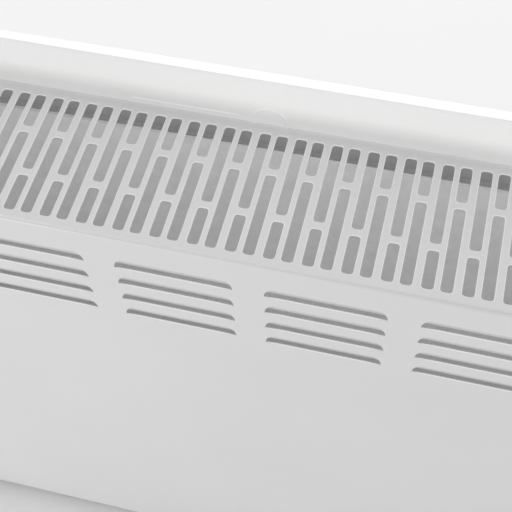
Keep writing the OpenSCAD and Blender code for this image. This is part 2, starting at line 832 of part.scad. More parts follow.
module plug_body() {
    x0 = plug_x;
    color([0.93, 0.93, 0.92]) difference() {
        union() {
            translate([x0, plug_y, plug_r]) rotate([0, 90, 0])
                cylinder(h = 14, r1 = 5.5, r2 = 9);
            translate([x0 + 14, plug_y, plug_r]) rotate([0, 90, 0])
                cylinder(h = 5, r1 = 13, r2 = plug_r);
            rod_x([x0 + 19, plug_y, plug_r], plug_r, plug_len - 19);
        }
        rod_x([x0 - 1, plug_y, plug_r], cable_r + fit_gap, 9 + fit_gap);
        for (s = [-1, 1])
            rod_x([x0 + plug_len - 8, plug_y + s * plug_pin_gap / 2, plug_r],
                plug_stem_r + fit_gap, 20);
        for (s = [-1, 1])
            box([x0 + 18, plug_y - 3, plug_r + s * plug_r - 1.5],
                [x0 + plug_len + 1, plug_y + 3, plug_r + s * plug_r + 1.5]);
    }
}

module plug_pins() {
    face_x = plug_x + plug_len;
    color("silver") for (s = [-1, 1]) {
        rod_x([face_x, plug_y + s * plug_pin_gap / 2, plug_r], plug_pin_r, plug_pin_len);
        rod_x([face_x - 8 + fit_gap, plug_y + s * plug_pin_gap / 2, plug_r], plug_stem_r, 8);
    }
}

// ---- feet, buffers and fasteners ----

module rubber_feet() {
    color(dark) for (s = [-1, 1], y = [-foot_y, foot_y]) {
        rod_z([s * (half_w - cap_w / 2), y, 0], foot_r, cap_z0);
        rod_z([s * (half_w - cap_w / 2), y, cap_z0 - 1], 2, 4);
    }
}

function buffer_z() = [65, z_grille - 30 - louvre_rows * louvre_pitch - 15];

module wall_buffers() {
    color(dark) for (s = [-1, 1], z = buffer_z()) {
        rod_y([s * buffer_x, y_back, z], 7, buffer_h);
        rod_y([s * buffer_x, y_back - 4, z], 2, 5);
    }
}

module cap_screws() {
    color("silver") for (s = [-1, 1], z = cap_screw_z)
        screw([s * cap_screw_x, y_back + cap_over, z], [90, 0, 0], 9);
}

module plate_screws() {
    color("silver") for (s = [-1, 1], z = plate_screw_z)
        screw([s * plate_screw_x, y_back, z], [90, 0, 0], 7);
}

module shield_screws() {
    color("silver") for (s = [-1, 1], z = shield_screw_z)
        screw([s * plate_screw_x, shield_y - sheet_t, z], [-90, 0, 0], 7);
}

module guard_screws() {
    color("silver") for (x = guard_screw_x, y = [y_front + flange_d / 2, y_back - flange_d / 2])
        screw([x, y, z_bottom], [0, 0, 0], 6);
}

module control_screws() {
    color("silver") {
        for (s = [-1, 1])
            screw([half_w, control_y + s * 11, knob_z], [0, -90, 0], 9);
        for (s = [-1, 1])
            screw([plate_x + sheet_t + 1 + gap, element_y + s * ear_span, cutout_z],
                [0, -90, 0], 6);
    }
}

rear_casing();
front_panel();
left_end_cap();
right_end_cap();
inlet_guard();
heat_shield();
left_inner_plate();
right_inner_plate();
element_fins();
element_rod();
element_insulators();
element_terminals();
element_bushes();
thermostat_body();
thermostat_shaft();
thermostat_knob();
capillary_tube();
sensor_bulb();
bulb_clip();
power_switch_housing();
power_rocker();
heat_switch_housing();
heat_rocker();
indicator_lens();
indicator_lamp();
thermal_cutout();
terminal_block();
terminal_screws();
earth_stud();
internal_wiring();
mains_cable();
cable_gland();
plug_body();
plug_pins();
rubber_feet();
wall_buffers();
cap_screws();
plate_screws();
shield_screws();
guard_screws();
control_screws();
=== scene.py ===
"""Looks of an electric convector heater, built around its CAD model in the same frame.
The helpers work in millimetres; Shell.build turns each finished piece into metres."""
import json
import math

import bmesh
import bpy
from mathutils import Matrix, Vector
from mathutils.geometry import delaunay_2d_cdt


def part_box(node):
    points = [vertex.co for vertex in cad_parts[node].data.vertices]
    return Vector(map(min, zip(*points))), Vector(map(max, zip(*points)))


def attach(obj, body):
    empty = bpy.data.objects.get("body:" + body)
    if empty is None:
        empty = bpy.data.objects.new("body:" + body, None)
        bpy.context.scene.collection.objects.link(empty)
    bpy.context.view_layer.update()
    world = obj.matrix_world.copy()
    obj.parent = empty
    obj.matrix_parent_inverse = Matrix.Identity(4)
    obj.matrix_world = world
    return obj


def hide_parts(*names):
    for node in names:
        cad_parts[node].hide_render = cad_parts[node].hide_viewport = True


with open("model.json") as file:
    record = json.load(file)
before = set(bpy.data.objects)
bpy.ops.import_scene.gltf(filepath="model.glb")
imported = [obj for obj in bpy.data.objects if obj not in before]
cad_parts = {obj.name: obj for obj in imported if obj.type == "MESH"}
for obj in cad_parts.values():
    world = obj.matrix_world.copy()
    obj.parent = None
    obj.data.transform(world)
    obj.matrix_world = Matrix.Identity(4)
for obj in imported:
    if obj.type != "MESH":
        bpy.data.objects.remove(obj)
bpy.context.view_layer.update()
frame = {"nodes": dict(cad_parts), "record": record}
MM = 0.001

# ---- sizes, in millimetres


def box_mm(node):
    """Lowest and highest corner of a CAD node, in millimetres."""
    low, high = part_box(node)
    return low / MM, high / MM


def middle_mm(node):
    """(x, y, z) of the middle of a CAD node's box, in millimetres."""
    return [(low + high) / 2 for low, high in zip(*box_mm(node))]


def grid_mm(node, inset):
    """The two x, two y and two z values of a CAD node's box, moved in by inset."""
    return [(low + inset, high - inset) for low, high in zip(*box_mm(node))]


CASING_LOW, CASING_HIGH = box_mm("rear_casing")
PANEL_LOW, PANEL_HIGH = box_mm("front_panel")
X_END = CASING_HIGH.x
Y_BACK = CASING_HIGH.y
Z_GRILLE = CASING_HIGH.z
Z_BOTTOM = CASING_LOW.z
Y_FRONT = PANEL_LOW.y
Z_TOP = PANEL_HIGH.z
HALF_W = box_mm("right_end_cap")[1].x

SHEET_T = 0.8  # casing and heat shield
FRONT_T = 1.0  # front panel
Y_BAND = Y_FRONT + FRONT_T  # the front panel's rear face
BEND_R = 2.0
FOLD_R = 0.9  # the tighter folds
FLANGE_D = 12.0
LIP_D = 6.0
SCREW_HOLE_R = 1.7
SCREW_HEAD_R = 3.2

GRILLE_HALF = HALF_W - 27  # half the length that holds slots
SLOT = {
    "pitch": 17.0,  # from one pair of columns to the next
    "step": 8.0,  # between the two columns of a pair
    "width": 5.2,
    "run": 67.0,  # both slots of a column and the bridge between them
    "short": 19.5,
    "bridge": 3.9,
    "margin": 5.0,  # from the back of the casing
    "corner": 1.5,
    "roll": 0.42,  # radius of the rolled edge
}
LOUVRE = {
    "groups": 8,
    "group_pitch": 70.0,
    "rows": 4,
    "pitch": 13.9,
    "first": 24.0,  # from the grille down to the first cut edge
    "length": 55.5,
    "height": 6.4,
    "depth": 2.4,
    "end": 4.5,  # length of the elliptical end of the outline
    "wall": 0.5,  # length of the steep wall at each end
    "crease": 0.13,  # share of the height taken by the strip of painted shade along the top crease
    "roll": 0.4,
}

KEYHOLE = {"radius": 5.0, "slot_radius": 2.5, "rise": 12.0, "apart": 400.0, "drop": 90.0}
GLAND_HOLE_R = 6.1
BUFFER_R = 7.0
BUFFER_HOLE_R = 2.1
PUNCH_ROLL = 0.25  # rolled edge of the round holes and keyholes

# the number of a piece's second or third material
EDGE_HIGHLIGHT_TONE, CREASE_SHADE_TONE = 1, 2  # painted highlight on a sheet's rolled edges, painted shade in its pressed creases
INK_TONE = 1  # marks on the dial and the knob
HEM_SHADE_TONE = 1  # painted shade on the shield's bent top edge

# ---- mesh building


class Shell:
    """Collects welded vertices and faces in millimetres, and makes one object of them."""

    def __init__(self):
        self.verts, self.keys, self.faces, self.smooth = [], {}, [], []
        self.tone, self.tones = 0, []

    def vert(self, point):
        key = tuple(round(c, 4) for c in point)
        if key not in self.keys:
            self.keys[key] = len(self.verts)
            self.verts.append(Vector(point))
        return self.keys[key]

    def face(self, points, smooth=True):
        ids = []
        for p in points:
            i = self.vert(p)
            if i not in ids:
                ids.append(i)
        if len(ids) > 2:
            self.faces.append(ids)
            self.smooth.append(smooth)
            self.tones.append(self.tone)

    def strip(self, row_a, row_b, closed=False, smooth=True):
        """Quads between two rows of the same number of points."""
        count = len(row_a)
        for i in range(count if closed else count - 1):
            j = (i + 1) % count
            self.face([row_a[i], row_a[j], row_b[j], row_b[i]], smooth)

    def tube(self, rows, capped=False):
        """Quads between each closed row of points and the next; capped closes both ends."""
        for row_a, row_b in zip(rows, rows[1:]):
            self.strip(row_a, row_b, closed=True)
        if capped:
            self.face(rows[0], False)
            self.face(rows[-1], False)

    def flat(self, outline, holes, place):
        """Fills a flat outline with holes, given in 2D; place turns a 2D point into 3D."""
        points, edges, loops = [], [], []
        for loop in [outline] + holes:
            ids = list(range(len(points), len(points) + len(loop)))
            points += [Vector(p) for p in loop]
            edges += zip(ids, ids[1:] + ids[:1])
            loops.append(ids)
        inside_outline, tolerance = 1, 1e-6
        made = delaunay_2d_cdt(points, edges, loops, inside_outline, tolerance)
        spots, triangles, owners = made[0], made[2], made[5]
        for triangle, loops_around in zip(triangles, owners):
            if all(loop == 0 for loop in loops_around):
                self.face([place(spots[i]) for i in triangle], False)

    def build(self, name, body, node_name, slot, *materials):
        """Makes the piece that stands for a CAD node; a face's tone numbers its material."""
        mesh = bpy.data.meshes.new(name)
        mesh.from_pydata([v * MM for v in self.verts], [], self.faces)
        mesh.polygons.foreach_set("use_smooth", self.smooth)
        mesh.polygons.foreach_set("material_index", self.tones)
        for material in materials:
            mesh.materials.append(material)
        bm = bmesh.new()
        bm.from_mesh(mesh)
        bmesh.ops.recalc_face_normals(bm, faces=bm.faces)
        bm.to_mesh(mesh)
        bm.free()
        piece = bpy.data.objects.new(name, mesh)
        bpy.context.scene.collection.objects.link(piece)
        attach(piece, body)
        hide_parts(node_name)


def rounded_loop(x0, x1, y0, y1, radius, steps=5, grow=0.0):
    """A rounded rectangle, counter-clockwise, grown outwards by grow."""
    loop = []
    corners = [(x1 - radius, y1 - radius, 0), (x0 + radius, y1 - radius, 90),
               (x0 + radius, y0 + radius, 180), (x1 - radius, y0 + radius, 270)]
    for cx, cy, start in corners:
        for i in range(steps + 1):
            a = math.radians(start + 90 * i / steps)
            loop.append((cx + (radius + grow) * math.cos(a), cy + (radius + grow) * math.sin(a)))
    return loop


def circle_loop(cx, cy, radius, steps=24):
    turn = 2 * math.pi / steps
    return [(cx + radius * math.cos(turn * i), cy + radius * math.sin(turn * i))
            for i in range(steps)]


def punched_hole(shell, loop_at, place, thickness, roll, steps=3):
    """The wall of a punched hole: its outer edge is rolled over, its inner edge is sharp.
    loop_at(grow) gives the hole's outline; place(point, depth) puts it in the sheet."""
    rows = []
    for i in range(steps + 1):
        a = math.pi / 2 * i / steps
        rows.append([place(p, roll * (1 - math.cos(a)))
                     for p in loop_at(roll * (1 - math.sin(a)))])
    # painted highlight: the rolled edge of each punched hole takes the lighter edge paint
    shell.tone = EDGE_HIGHLIGHT_TONE
    shell.tube(rows)
    shell.tone = 0
    shell.tube([rows[-1], [place(p, thickness) for p in loop_at(0.0)]])


def arc_yz(cy, cz, radius, start, end, steps=6):
    turn = math.radians(end - start) / steps
    return [(cy + radius * math.cos(math.radians(start) + turn * i),
             cz + radius * math.sin(math.radians(start) + turn * i)) for i in range(steps + 1)]


def bars_between(shell, profile, x0, x1, skip=()):
    """Long faces along X over a (y, z) profile; skip lists the segments left open."""
    longest_curved = 3.0
    for i, ((ya, za), (yb, zb)) in enumerate(zip(profile, profile[1:])):
        if i not in skip:
            smooth = math.hypot(yb - ya, zb - za) <= longest_curved
            shell.face([(x0, ya, za), (x1, ya, za), (x1, yb, zb), (x0, yb, zb)], smooth)


def close_sheet(shell, outer, inner, x0, x1, cut_edges=(0, -1)):
    """The sheet's thickness at both ends in X, and along its cut edges."""
    for i in cut_edges:
        (ya, za), (yb, zb) = outer[i], inner[i]
        shell.face([(x0, ya, za), (x1, ya, za), (x1, yb, zb), (x0, yb, zb)], False)
    for x in (x0, x1):
        shell.strip([(x, y, z) for y, z in outer], [(x, y, z) for y, z in inner], smooth=False)


# ---- materials


def new_material(name):
    material = bpy.data.materials.new(name)
    material.use_nodes = True
    tree = material.node_tree
    tree.nodes.clear()
    out = tree.nodes.new("ShaderNodeOutputMaterial")
    shader = tree.nodes.new("ShaderNodeBsdfPrincipled")
    tree.links.new(shader.outputs[0], out.inputs[0])
    return material, tree, shader


def node(tree, kind, values=None, **props):
    made = tree.nodes.new(kind)
    for key, value in props.items():
        setattr(made, key, value)
    for key, value in (values or {}).items():
        made.inputs[key].default_value = value
    return made


def surface(name, color, roughness, metallic=0.0, mottle=0.04, mottle_scale=40.0,
            grain_scale=1800.0, grain=0.12, grain_size=0.00003, wear=0.0, stretch=(1, 1, 1),
            coat=0.0, rough_spread=0.08):
    """A procedural finish: slow colour drift, fine surface grain, and lighter worn edges."""
    material, tree, shader = new_material(name)
    link = tree.links.new
    coords = node(tree, "ShaderNodeTexCoord")
    mapping = node(tree, "ShaderNodeMapping", {"Scale": stretch})
    link(coords.outputs["Object"], mapping.inputs["Vector"])
    drift = node(tree, "ShaderNodeTexNoise", {"Scale": mottle_scale, "Detail": 4.0})
    link(mapping.outputs[0], drift.inputs["Vector"])
    low = [max(0.0, c * (1 - mottle)) for c in color[:3]] + [1]
    high = [min(1.0, c * (1 + mottle)) for c in color[:3]] + [1]
    ramp = node(tree, "ShaderNodeValToRGB")
    ramp.color_ramp.elements[0].color, ramp.color_ramp.elements[1].color = low, high
    ramp.color_ramp.elements[0].position, ramp.color_ramp.elements[1].position = 0.35, 0.65
    link(drift.outputs["Fac"], ramp.inputs["Fac"])
    color_out = ramp.outputs["Color"]
    if wear:
        geometry = node(tree, "ShaderNodeNewGeometry")
        edge = node(tree, "ShaderNodeMapRange", {"From Min": 0.52, "From Max": 0.6})
        link(geometry.outputs["Pointiness"], edge.inputs["Value"])
        scaled = node(tree, "ShaderNodeMath", {1: wear}, operation="MULTIPLY")
        link(edge.outputs[0], scaled.inputs[0])
        mix = node(tree, "ShaderNodeMix", data_type="RGBA")
        mix.inputs["B"].default_value = [min(1.0, c * 1.35 + 0.05) for c in color[:3]] + [1]
        link(scaled.outputs[0], mix.inputs["Factor"])
        link(color_out, mix.inputs["A"])
        color_out = mix.outputs["Result"]
    link(color_out, shader.inputs["Base Color"])
    fine = node(tree, "ShaderNodeTexNoise", {"Scale": grain_scale, "Detail": 3.0})
    link(mapping.outputs[0], fine.inputs["Vector"])
    rough = node(tree, "ShaderNodeMapRange", {"To Min": roughness - rough_spread,
                                              "To Max": roughness + rough_spread})
    link(drift.outputs["Fac"], rough.inputs["Value"])
    link(rough.outputs[0], shader.inputs["Roughness"])
    bump = node(tree, "ShaderNodeBump", {"Strength": grain, "Distance": grain_size})
    link(fine.outputs["Fac"], bump.inputs["Height"])
    link(bump.outputs[0], shader.inputs["Normal"])
    shader.inputs["Metallic"].default_value = metallic
    shader.inputs["Coat Weight"].default_value = coat
    return material


def paint(name, color, roughness, grain=0.3, mottle=0.012, mottle_scale=9.0):
    """A baked paint: an even tone with a faint orange peel."""
    return surface(name, color, roughness, mottle=mottle, mottle_scale=mottle_scale,
                   grain_scale=1400.0, grain=grain, rough_spread=0.04)


WHITE_PAINT = paint("white_paint", (0.9, 0.9, 0.895), 0.42, grain=0.35)
CASING_PAINT = paint("casing_paint", (0.675, 0.675, 0.675), 0.35, grain=0.35)
# a lighter paint that puts a painted highlight on the rolled edges
EDGE_HIGHLIGHT_PAINT = paint("edge_highlight_paint", (0.84, 0.84, 0.84), 0.35)
# a darker paint that puts painted shade along the louvres' top creases
CREASE_SHADE_PAINT = paint("crease_shade_paint", (0.6, 0.6, 0.6), 0.4, mottle=0.03, mottle_scale=30.0)
CAP_PLASTIC = surface("cap_plastic", (0.82, 0.82, 0.81), 0.5, mottle=0.01, mottle_scale=12.0,
                      grain_scale=2600.0, grain=0.5, grain_size=0.00005)
GALVANISED = surface("galvanised", (0.78, 0.78, 0.78), 0.42, metallic=0.1, mottle=0.03,
                     mottle_scale=130.0, grain_scale=900.0, grain=0.2)
# a darker zinc that puts painted shade on the shield's top hem
HEM_SHADE_ZINC = surface("hem_shade_zinc", (0.6, 0.6, 0.6), 0.5, metallic=0.1, mottle=0.03,
                    mottle_scale=130.0, grain_scale=900.0, grain=0.2)
DARK_INK = surface("dark_ink", (0.12, 0.12, 0.125), 0.5, mottle=0.1, mottle_scale=400.0)
LIGHT_INK = surface("light_ink", (0.82, 0.82, 0.8), 0.45, mottle=0.04, mottle_scale=400.0)

# by the CAD record's material slots: colour, roughness and what differs from a plain finish
FINISHES = {
    "dark_plastic": ((0.035, 0.035, 0.038), 0.5,
                     {"mottle": 0.1, "wear": 0.25, "grain_scale": 2400.0, "grain": 0.5}),
    "knob_plastic": ((0.17, 0.17, 0.18), 0.45,
                     {"mottle": 0.05, "wear": 0.3, "grain_scale": 2600.0, "grain": 0.5}),
    "rocker_plastic": ((0.03, 0.03, 0.033), 0.22, {"mottle": 0.05, "coat": 0.3}),
    "lens_red": ((0.75, 0.06, 0.02), 0.18, {"mottle": 0.08, "coat": 0.5}),
    "lamp_body": ((0.8, 0.78, 0.7), 0.5, {}),
    "ceramic": ((0.85, 0.82, 0.74), 0.7, {"mottle": 0.05, "mottle_scale": 200.0}),
    "silicone": ((0.5, 0.12, 0.07), 0.6, {"mottle": 0.05}),
    "wire_insulation": ((0.35, 0.17, 0.08), 0.45, {"mottle": 0.05}),
    "cable_sheath": ((0.8, 0.8, 0.78), 0.5, {"mottle": 0.02, "grain": 0.3}),
    "rubber": ((0.035, 0.035, 0.035), 0.75,
               {"mottle": 0.15, "grain": 0.6, "grain_scale": 1500.0}),
    "aluminium": ((0.78, 0.78, 0.79), 0.36,
                  {"metallic": 1.0, "mottle": 0.05, "stretch": (0.05, 1, 1),
                   "grain_scale": 2600.0, "grain": 0.4}),
    "rod_steel": ((0.32, 0.29, 0.27), 0.45,
                  {"metallic": 1.0, "mottle": 0.2, "mottle_scale": 60.0}),
    "plated_steel": ((0.7, 0.7, 0.72), 0.3,
                     {"metallic": 1.0, "mottle": 0.06, "mottle_scale": 300.0}),
    "copper": ((0.75, 0.4, 0.25), 0.3, {"metallic": 1.0, "mottle": 0.1}),
    "brass": ((0.75, 0.58, 0.27), 0.32, {"metallic": 1.0, "mottle": 0.08}),
    "nickel": ((0.78, 0.76, 0.72), 0.2, {"metallic": 1.0, "mottle": 0.04}),
}
MATERIALS = {name: surface(name, color, roughness, **finish)
             for name, (color, roughness, finish) in FINISHES.items()}
MATERIALS.update(white_paint=WHITE_PAINT, cap_plastic=CAP_PLASTIC, galvanised_steel=GALVANISED)


def paint_cad_nodes():
    for part in frame["record"]["subparts"]:
        materials = frame["nodes"][part["node"]].data.materials
        materials.clear()
        materials.append(MATERIALS[part["material_slot"]])


paint_cad_nodes()

# ---- rear casing


def slot_rects():
    """(x, y0, y1) of every slot of the grille."""
    y1 = Y_BACK - SLOT["margin"]
    y0 = y1 - SLOT["run"]
    step_on = SLOT["short"] + SLOT["bridge"]
    short_behind = [(y1 - SLOT["short"], y1), (y0, y1 - step_on)]
    short_in_front = [(y0 + step_on, y1), (y0, y0 + SLOT["short"])]
    first = SLOT["pitch"] / 2
    reach = int(GRILLE_HALF // SLOT["pitch"]) + 1
    rects = []
    for offset, column in ((first, short_behind), (first - SLOT["step"], short_in_front)):
        for k in range(-reach, reach + 1):
            x = k * SLOT["pitch"] + offset
            if abs(x) <= GRILLE_HALF + 1:
                rects += [(x, ya, yb) for ya, yb in column]
    return rects


def build_grille(shell, y0, y1):
    """The flat top between y0 and y1 with its punched slots, both skins."""
    outer_holes, inner_holes = [], []
    half = SLOT["width"] / 2
    for x, ya, yb in slot_rects():
        def loop_at(grow, x=x, ya=ya, yb=yb):
            return rounded_loop(x - half, x + half, ya, yb, SLOT["corner"], 5, grow)
        punched_hole(shell, loop_at, lambda p, d: (p[0], p[1], Z_GRILLE - d), SHEET_T,
                     SLOT["roll"])
        outer_holes.append(loop_at(SLOT["roll"]))
        inner_holes.append(loop_at(0.0))
    outline = [(-X_END, y0), (X_END, y0), (X_END, y1), (-X_END, y1)]
    shell.flat(outline, outer_holes, lambda p: (p[0], p[1], Z_GRILLE))
    shell.flat(outline, inner_holes, lambda p: (p[0], p[1], Z_GRILLE - SHEET_T))


def elliptical_end(u, share):
    """1 along a louvre, falling to 0 on an ellipse over the last share of its half length."""
    past = max(0.0, (abs(u) - (1 - share)) / share)
    return math.sqrt(max(0.0, 1 - past ** 2))


def louvre_hood(x_mid, z_cut, us, depth_of_skin):
    """Columns of points down the pressed hood, one for each place u from -1 to 1."""
    half = LOUVRE["length"] / 2
    down = [0, LOUVRE["crease"], 0.3, 0.5, 0.7, 0.85, 1]
    columns = []
    for u in us:
        top = LOUVRE["height"] * elliptical_end(u, LOUVRE["end"] / half)
        reach = LOUVRE["depth"] * elliptical_end(u, LOUVRE["wall"] / half)
        columns.append([(x_mid + u * half, Y_BACK - depth_of_skin - reach * v,
                         z_cut + top * (1 - v)) for v in down])
    return columns


def louvre_cut_edge(x_mid, z_cut, us, roll_steps=3):
    """Rows along the back panel's cut edge below a louvre, rolled over on its outside."""
    half = LOUVRE["length"] / 2
    fade = 4  # the roll dies out over a quarter of each half
    rolls = [LOUVRE["roll"] * min(1.0, (1 - abs(u)) * fade) for u in us]
    rows = []
    for i in range(roll_steps + 1):
        a = math.pi / 2 * i / roll_steps
        rows.append([(x_mid + u * half, Y_BACK - r * (1 - math.cos(a)),
                      z_cut - r * (1 - math.sin(a))) for u, r in zip(us, rolls)])
    rows.append([(x_mid + u * half, Y_BACK - SHEET_T, z_cut) for u in us])
    return rows


def build_louvre(shell, x_mid, z_cut):
    """One pressed louvre; returns its outline in the outer and the inner skin."""
    steps = 20
    # closer together towards the ends
    us = [math.sin(math.pi / 2 * (i / steps - 1)) for i in range(2 * steps + 1)]
    outer = louvre_hood(x_mid, z_cut, us, 0.0)
    inner = louvre_hood(x_mid, z_cut, us, SHEET_T)
    for columns in (outer, inner):
        for a, b in zip(columns, columns[1:]):
            # painted shade: the strip along the top crease takes the darker crease paint
            shell.tone = CREASE_SHADE_TONE
            shell.strip(a[:2], b[:2])
            shell.tone = 0
            shell.strip(a[1:], b[1:])
    shell.strip([c[-1] for c in outer], [c[-1] for c in inner])
    rows = louvre_cut_edge(x_mid, z_cut, us)
    # painted highlight: the rolled cut edge below the louvre takes the lighter edge paint
    shell.tone = EDGE_HIGHLIGHT_TONE
    for row_a, row_b in zip(rows[:-1], rows[1:-1]):
        shell.strip(row_a, row_b)
    shell.tone = 0
    shell.strip(rows[-2], rows[-1])
    top_line = [(x, z) for x, y, z in (column[0] for column in reversed(outer))][1:-1]
    return [[(x, z) for x, y, z in row] + top_line for row in (rows[0], rows[-1])]


def back_round_holes():
    """(x, z, radius) of the round holes in the back panel."""
    holes = []
    for name, inset, radius in (("cap_screws", SCREW_HEAD_R, SCREW_HOLE_R),
                                ("plate_screws", SCREW_HEAD_R, SCREW_HOLE_R),
                                ("wall_buffers", BUFFER_R, BUFFER_HOLE_R)):
        xs, _, zs = grid_mm(name, inset)
        holes += [(x, z, radius) for x in xs for z in zs]
    x, _, z = middle_mm("cable_gland")
    holes.append((x, z, GLAND_HOLE_R))
    return holes


def keyhole_loop(x, z, grow, steps=24, slot_steps=8):
    """A keyhole: a round hole with a narrower slot above it."""
    radius, slot_r = KEYHOLE["radius"] + grow, KEYHOLE["slot_radius"] + grow
    start = math.asin(slot_r / radius)
    loop = []
    for i in range(steps + 1):
        a = math.pi / 2 + start + (2 * math.pi - 2 * start) * i / steps
        loop.append((x + radius * math.cos(a), z + radius * math.sin(a)))
    for i in range(slot_steps + 1):
        a = math.pi * i / slot_steps
        loop.append((x + slot_r * math.cos(a), z + KEYHOLE["rise"] + slot_r * math.sin(a)))
    return loop


def build_back(shell, z0, z1):
    """The flat back between z0 and z1 with louvres and holes, both skins."""
    outer_holes, inner_holes = [], []
    for group in range(LOUVRE["groups"]):
        x_mid = (group - (LOUVRE["groups"] - 1) / 2) * LOUVRE["group_pitch"]
        for row in range(LOUVRE["rows"]):
            z_cut = Z_GRILLE - LOUVRE["first"] - row * LOUVRE["pitch"]
            outer_loop, inner_loop = build_louvre(shell, x_mid, z_cut)
            outer_holes.append(outer_loop)
            inner_holes.append(inner_loop)

    def place(p, depth):
        return (p[0], Y_BACK - depth, p[1])
    makers = [lambda grow, x=x, z=z, r=r: circle_loop(x, z, r + grow)
              for x, z, r in back_round_holes()]
    makers += [lambda grow, x=x: keyhole_loop(x, Z_GRILLE - KEYHOLE["drop"], grow)
               for x in (-KEYHOLE["apart"] / 2, KEYHOLE["apart"] / 2)]
    for loop_at in makers:
        punched_hole(shell, loop_at, place, SHEET_T, PUNCH_ROLL)
        outer_holes.append(loop_at(PUNCH_ROLL))
        inner_holes.append(loop_at(0.0))
    outline = [(-X_END, z0), (X_END, z0), (X_END, z1), (-X_END, z1)]
    shell.flat(outline, outer_holes, lambda p: place(p, 0.0))
    shell.flat(outline, inner_holes, lambda p: place(p, SHEET_T))


def casing_profile(depth):
    """The casing's bent section in (y, z), depth below its outer skin. The two long flats
    come back as the index of their first point."""
    r = BEND_R
    y_fold = CASING_LOW.y
    profile = [(Y_BACK - FLANGE_D, Z_BOTTOM + depth)]
    profile += arc_yz(Y_BACK - r, Z_BOTTOM + r, r - depth, -90, 0)
    back = len(profile) - 1
    # the outer skin of the rear bend has a slight crease halfway round
    steps, crease = 12, 0.0 if depth else 0.35
    for i in range(steps + 1):
        a = math.radians(90 * i / steps)
        reach = r - depth - (crease if abs(i - steps / 2) <= 1 else 0.0)
        profile.append((Y_BACK - r + reach * math.cos(a), Z_GRILLE - r + reach * math.sin(a)))
    top = len(profile) - 1
    profile += arc_yz(y_fold + FOLD_R, Z_GRILLE - FOLD_R, FOLD_R - depth, 90, 180)
    profile.append((y_fold + depth, Z_GRILLE - FLANGE_D))
    return profile, back, top


def joint_paint(shell):
    """The paint that bridges the joint between the grille and the band."""
    run, rise, clear = 2.0, 0.7, 0.02
    curve = [(Y_BAND + run - run * math.sin(math.radians(a)),
              Z_GRILLE + rise - rise * math.cos(math.radians(a)) + clear)
             for a in range(0, 91, 10)]
    bars_between(shell, curve, -X_END, X_END)


def build_casing():
    shell = Shell()
    outer, back, top = casing_profile(0.0)
    inner = casing_profile(SHEET_T)[0]
    for profile in (outer, inner):
        bars_between(shell, profile, -X_END, X_END, skip=(back, top))
    build_back(shell, outer[back][1], outer[back + 1][1])
    build_grille(shell, outer[top + 1][0], outer[top][0])
    close_sheet(shell, outer, inner, -X_END, X_END)
    joint_paint(shell)
    shell.build("casing_sheet", "heater", "rear_casing", "white_paint",
                CASING_PAINT, EDGE_HIGHLIGHT_PAINT, CREASE_SHADE_PAINT)


build_casing()

# ---- front panel


RELIEF = {"height": 0.4, "line": 1.2, "above_grille": 3.0,
          "ring_x": 8.0, "ring_radius": 8.6, "bar_x": (23.0, 75.0)}
# a relief's rounded shoulder: inset from its foot, and share of the height
SHOULDER = [(0.0, 0.0), (0.12, 0.7), (0.3, 1.0)]


def relief_ring(shell):
    """A raised ring with rounded shoulders on the rear face of the band."""
    z = Z_GRILLE + RELIEF["above_grille"]
    far_shoulder = [(1 - u, v) for u, v in reversed(SHOULDER)]
    rows = []
    for u, v in SHOULDER + far_shoulder:
        loop = circle_loop(RELIEF["ring_x"], z, RELIEF["ring_radius"] - RELIEF["line"] * u, 72)
        rows.append([(px, Y_BAND + RELIEF["height"] * v, pz) for px, pz in loop])
    shell.tube(rows)


def relief_bar(shell):
    """A raised bar with rounded ends and shoulders on the rear face of the band."""
    z0 = Z_GRILLE + RELIEF["above_grille"]
    z1 = z0 + RELIEF["line"]
    rows = []
    for u, v in SHOULDER:
        loop = rounded_loop(*RELIEF["bar_x"], z0, z1, (z1 - z0) / 2 - 0.01, 6, -u)
        rows.append([(px, Y_BAND + RELIEF["height"] * v, pz) for px, pz in loop])
    shell.tube(rows)
    shell.face(rows[-1], False)


def sheet_flat(shell, outline, holes, place, thickness):
    """Both skins of a flat stretch of sheet, and the walls of its holes.
    place(point, depth) puts a 2D point in the frame."""
    shell.flat(outline, holes, lambda p: place(p, 0.0))
    shell.flat(outline, holes, lambda p: place(p, thickness))
    for loop in holes:
        shell.strip([place(p, 0.0) for p in loop], [place(p, thickness) for p in loop], True)


def front_profile(depth):
    """The front sheet's section in (y, z), depth below its outer skin."""
    y, z0, z1, r = Y_FRONT + BEND_R, Z_BOTTOM, Z_TOP - BEND_R, BEND_R - depth
    profile = [(Y_FRONT + FLANGE_D, z0 + depth)] + arc_yz(y, z0 + BEND_R, r, 270, 180, 8)
    return profile + arc_yz(y, z1, r, 180, 90, 8)


def build_front():
    """The front sheet, with its bent flange below and its upper bend."""
    shell = Shell()
    outer, inner = front_profile(0.0), front_profile(FRONT_T)
    for profile in (outer, inner):
        bars_between(shell, profile, -X_END, X_END, skip=(0,))
    y0, y1 = Y_FRONT + BEND_R, Y_FRONT + FLANGE_D
    holes = [circle_loop(x, Y_FRONT + FLANGE_D / 2, SCREW_HOLE_R)
             for x in (-2 * HALF_W / 3, 0, 2 * HALF_W / 3)]
    sheet_flat(shell, [(-X_END, y0), (X_END, y0), (X_END, y1), (-X_END, y1)], holes,
               lambda p, depth: (p[0], p[1], Z_BOTTOM + depth), FRONT_T)
    close_sheet(shell, outer, inner, -X_END, X_END, cut_edges=(0,))
    relief_ring(shell)
    relief_bar(shell)
    shell.build("front_sheet", "heater", "front_panel", "white_paint", WHITE_PAINT)


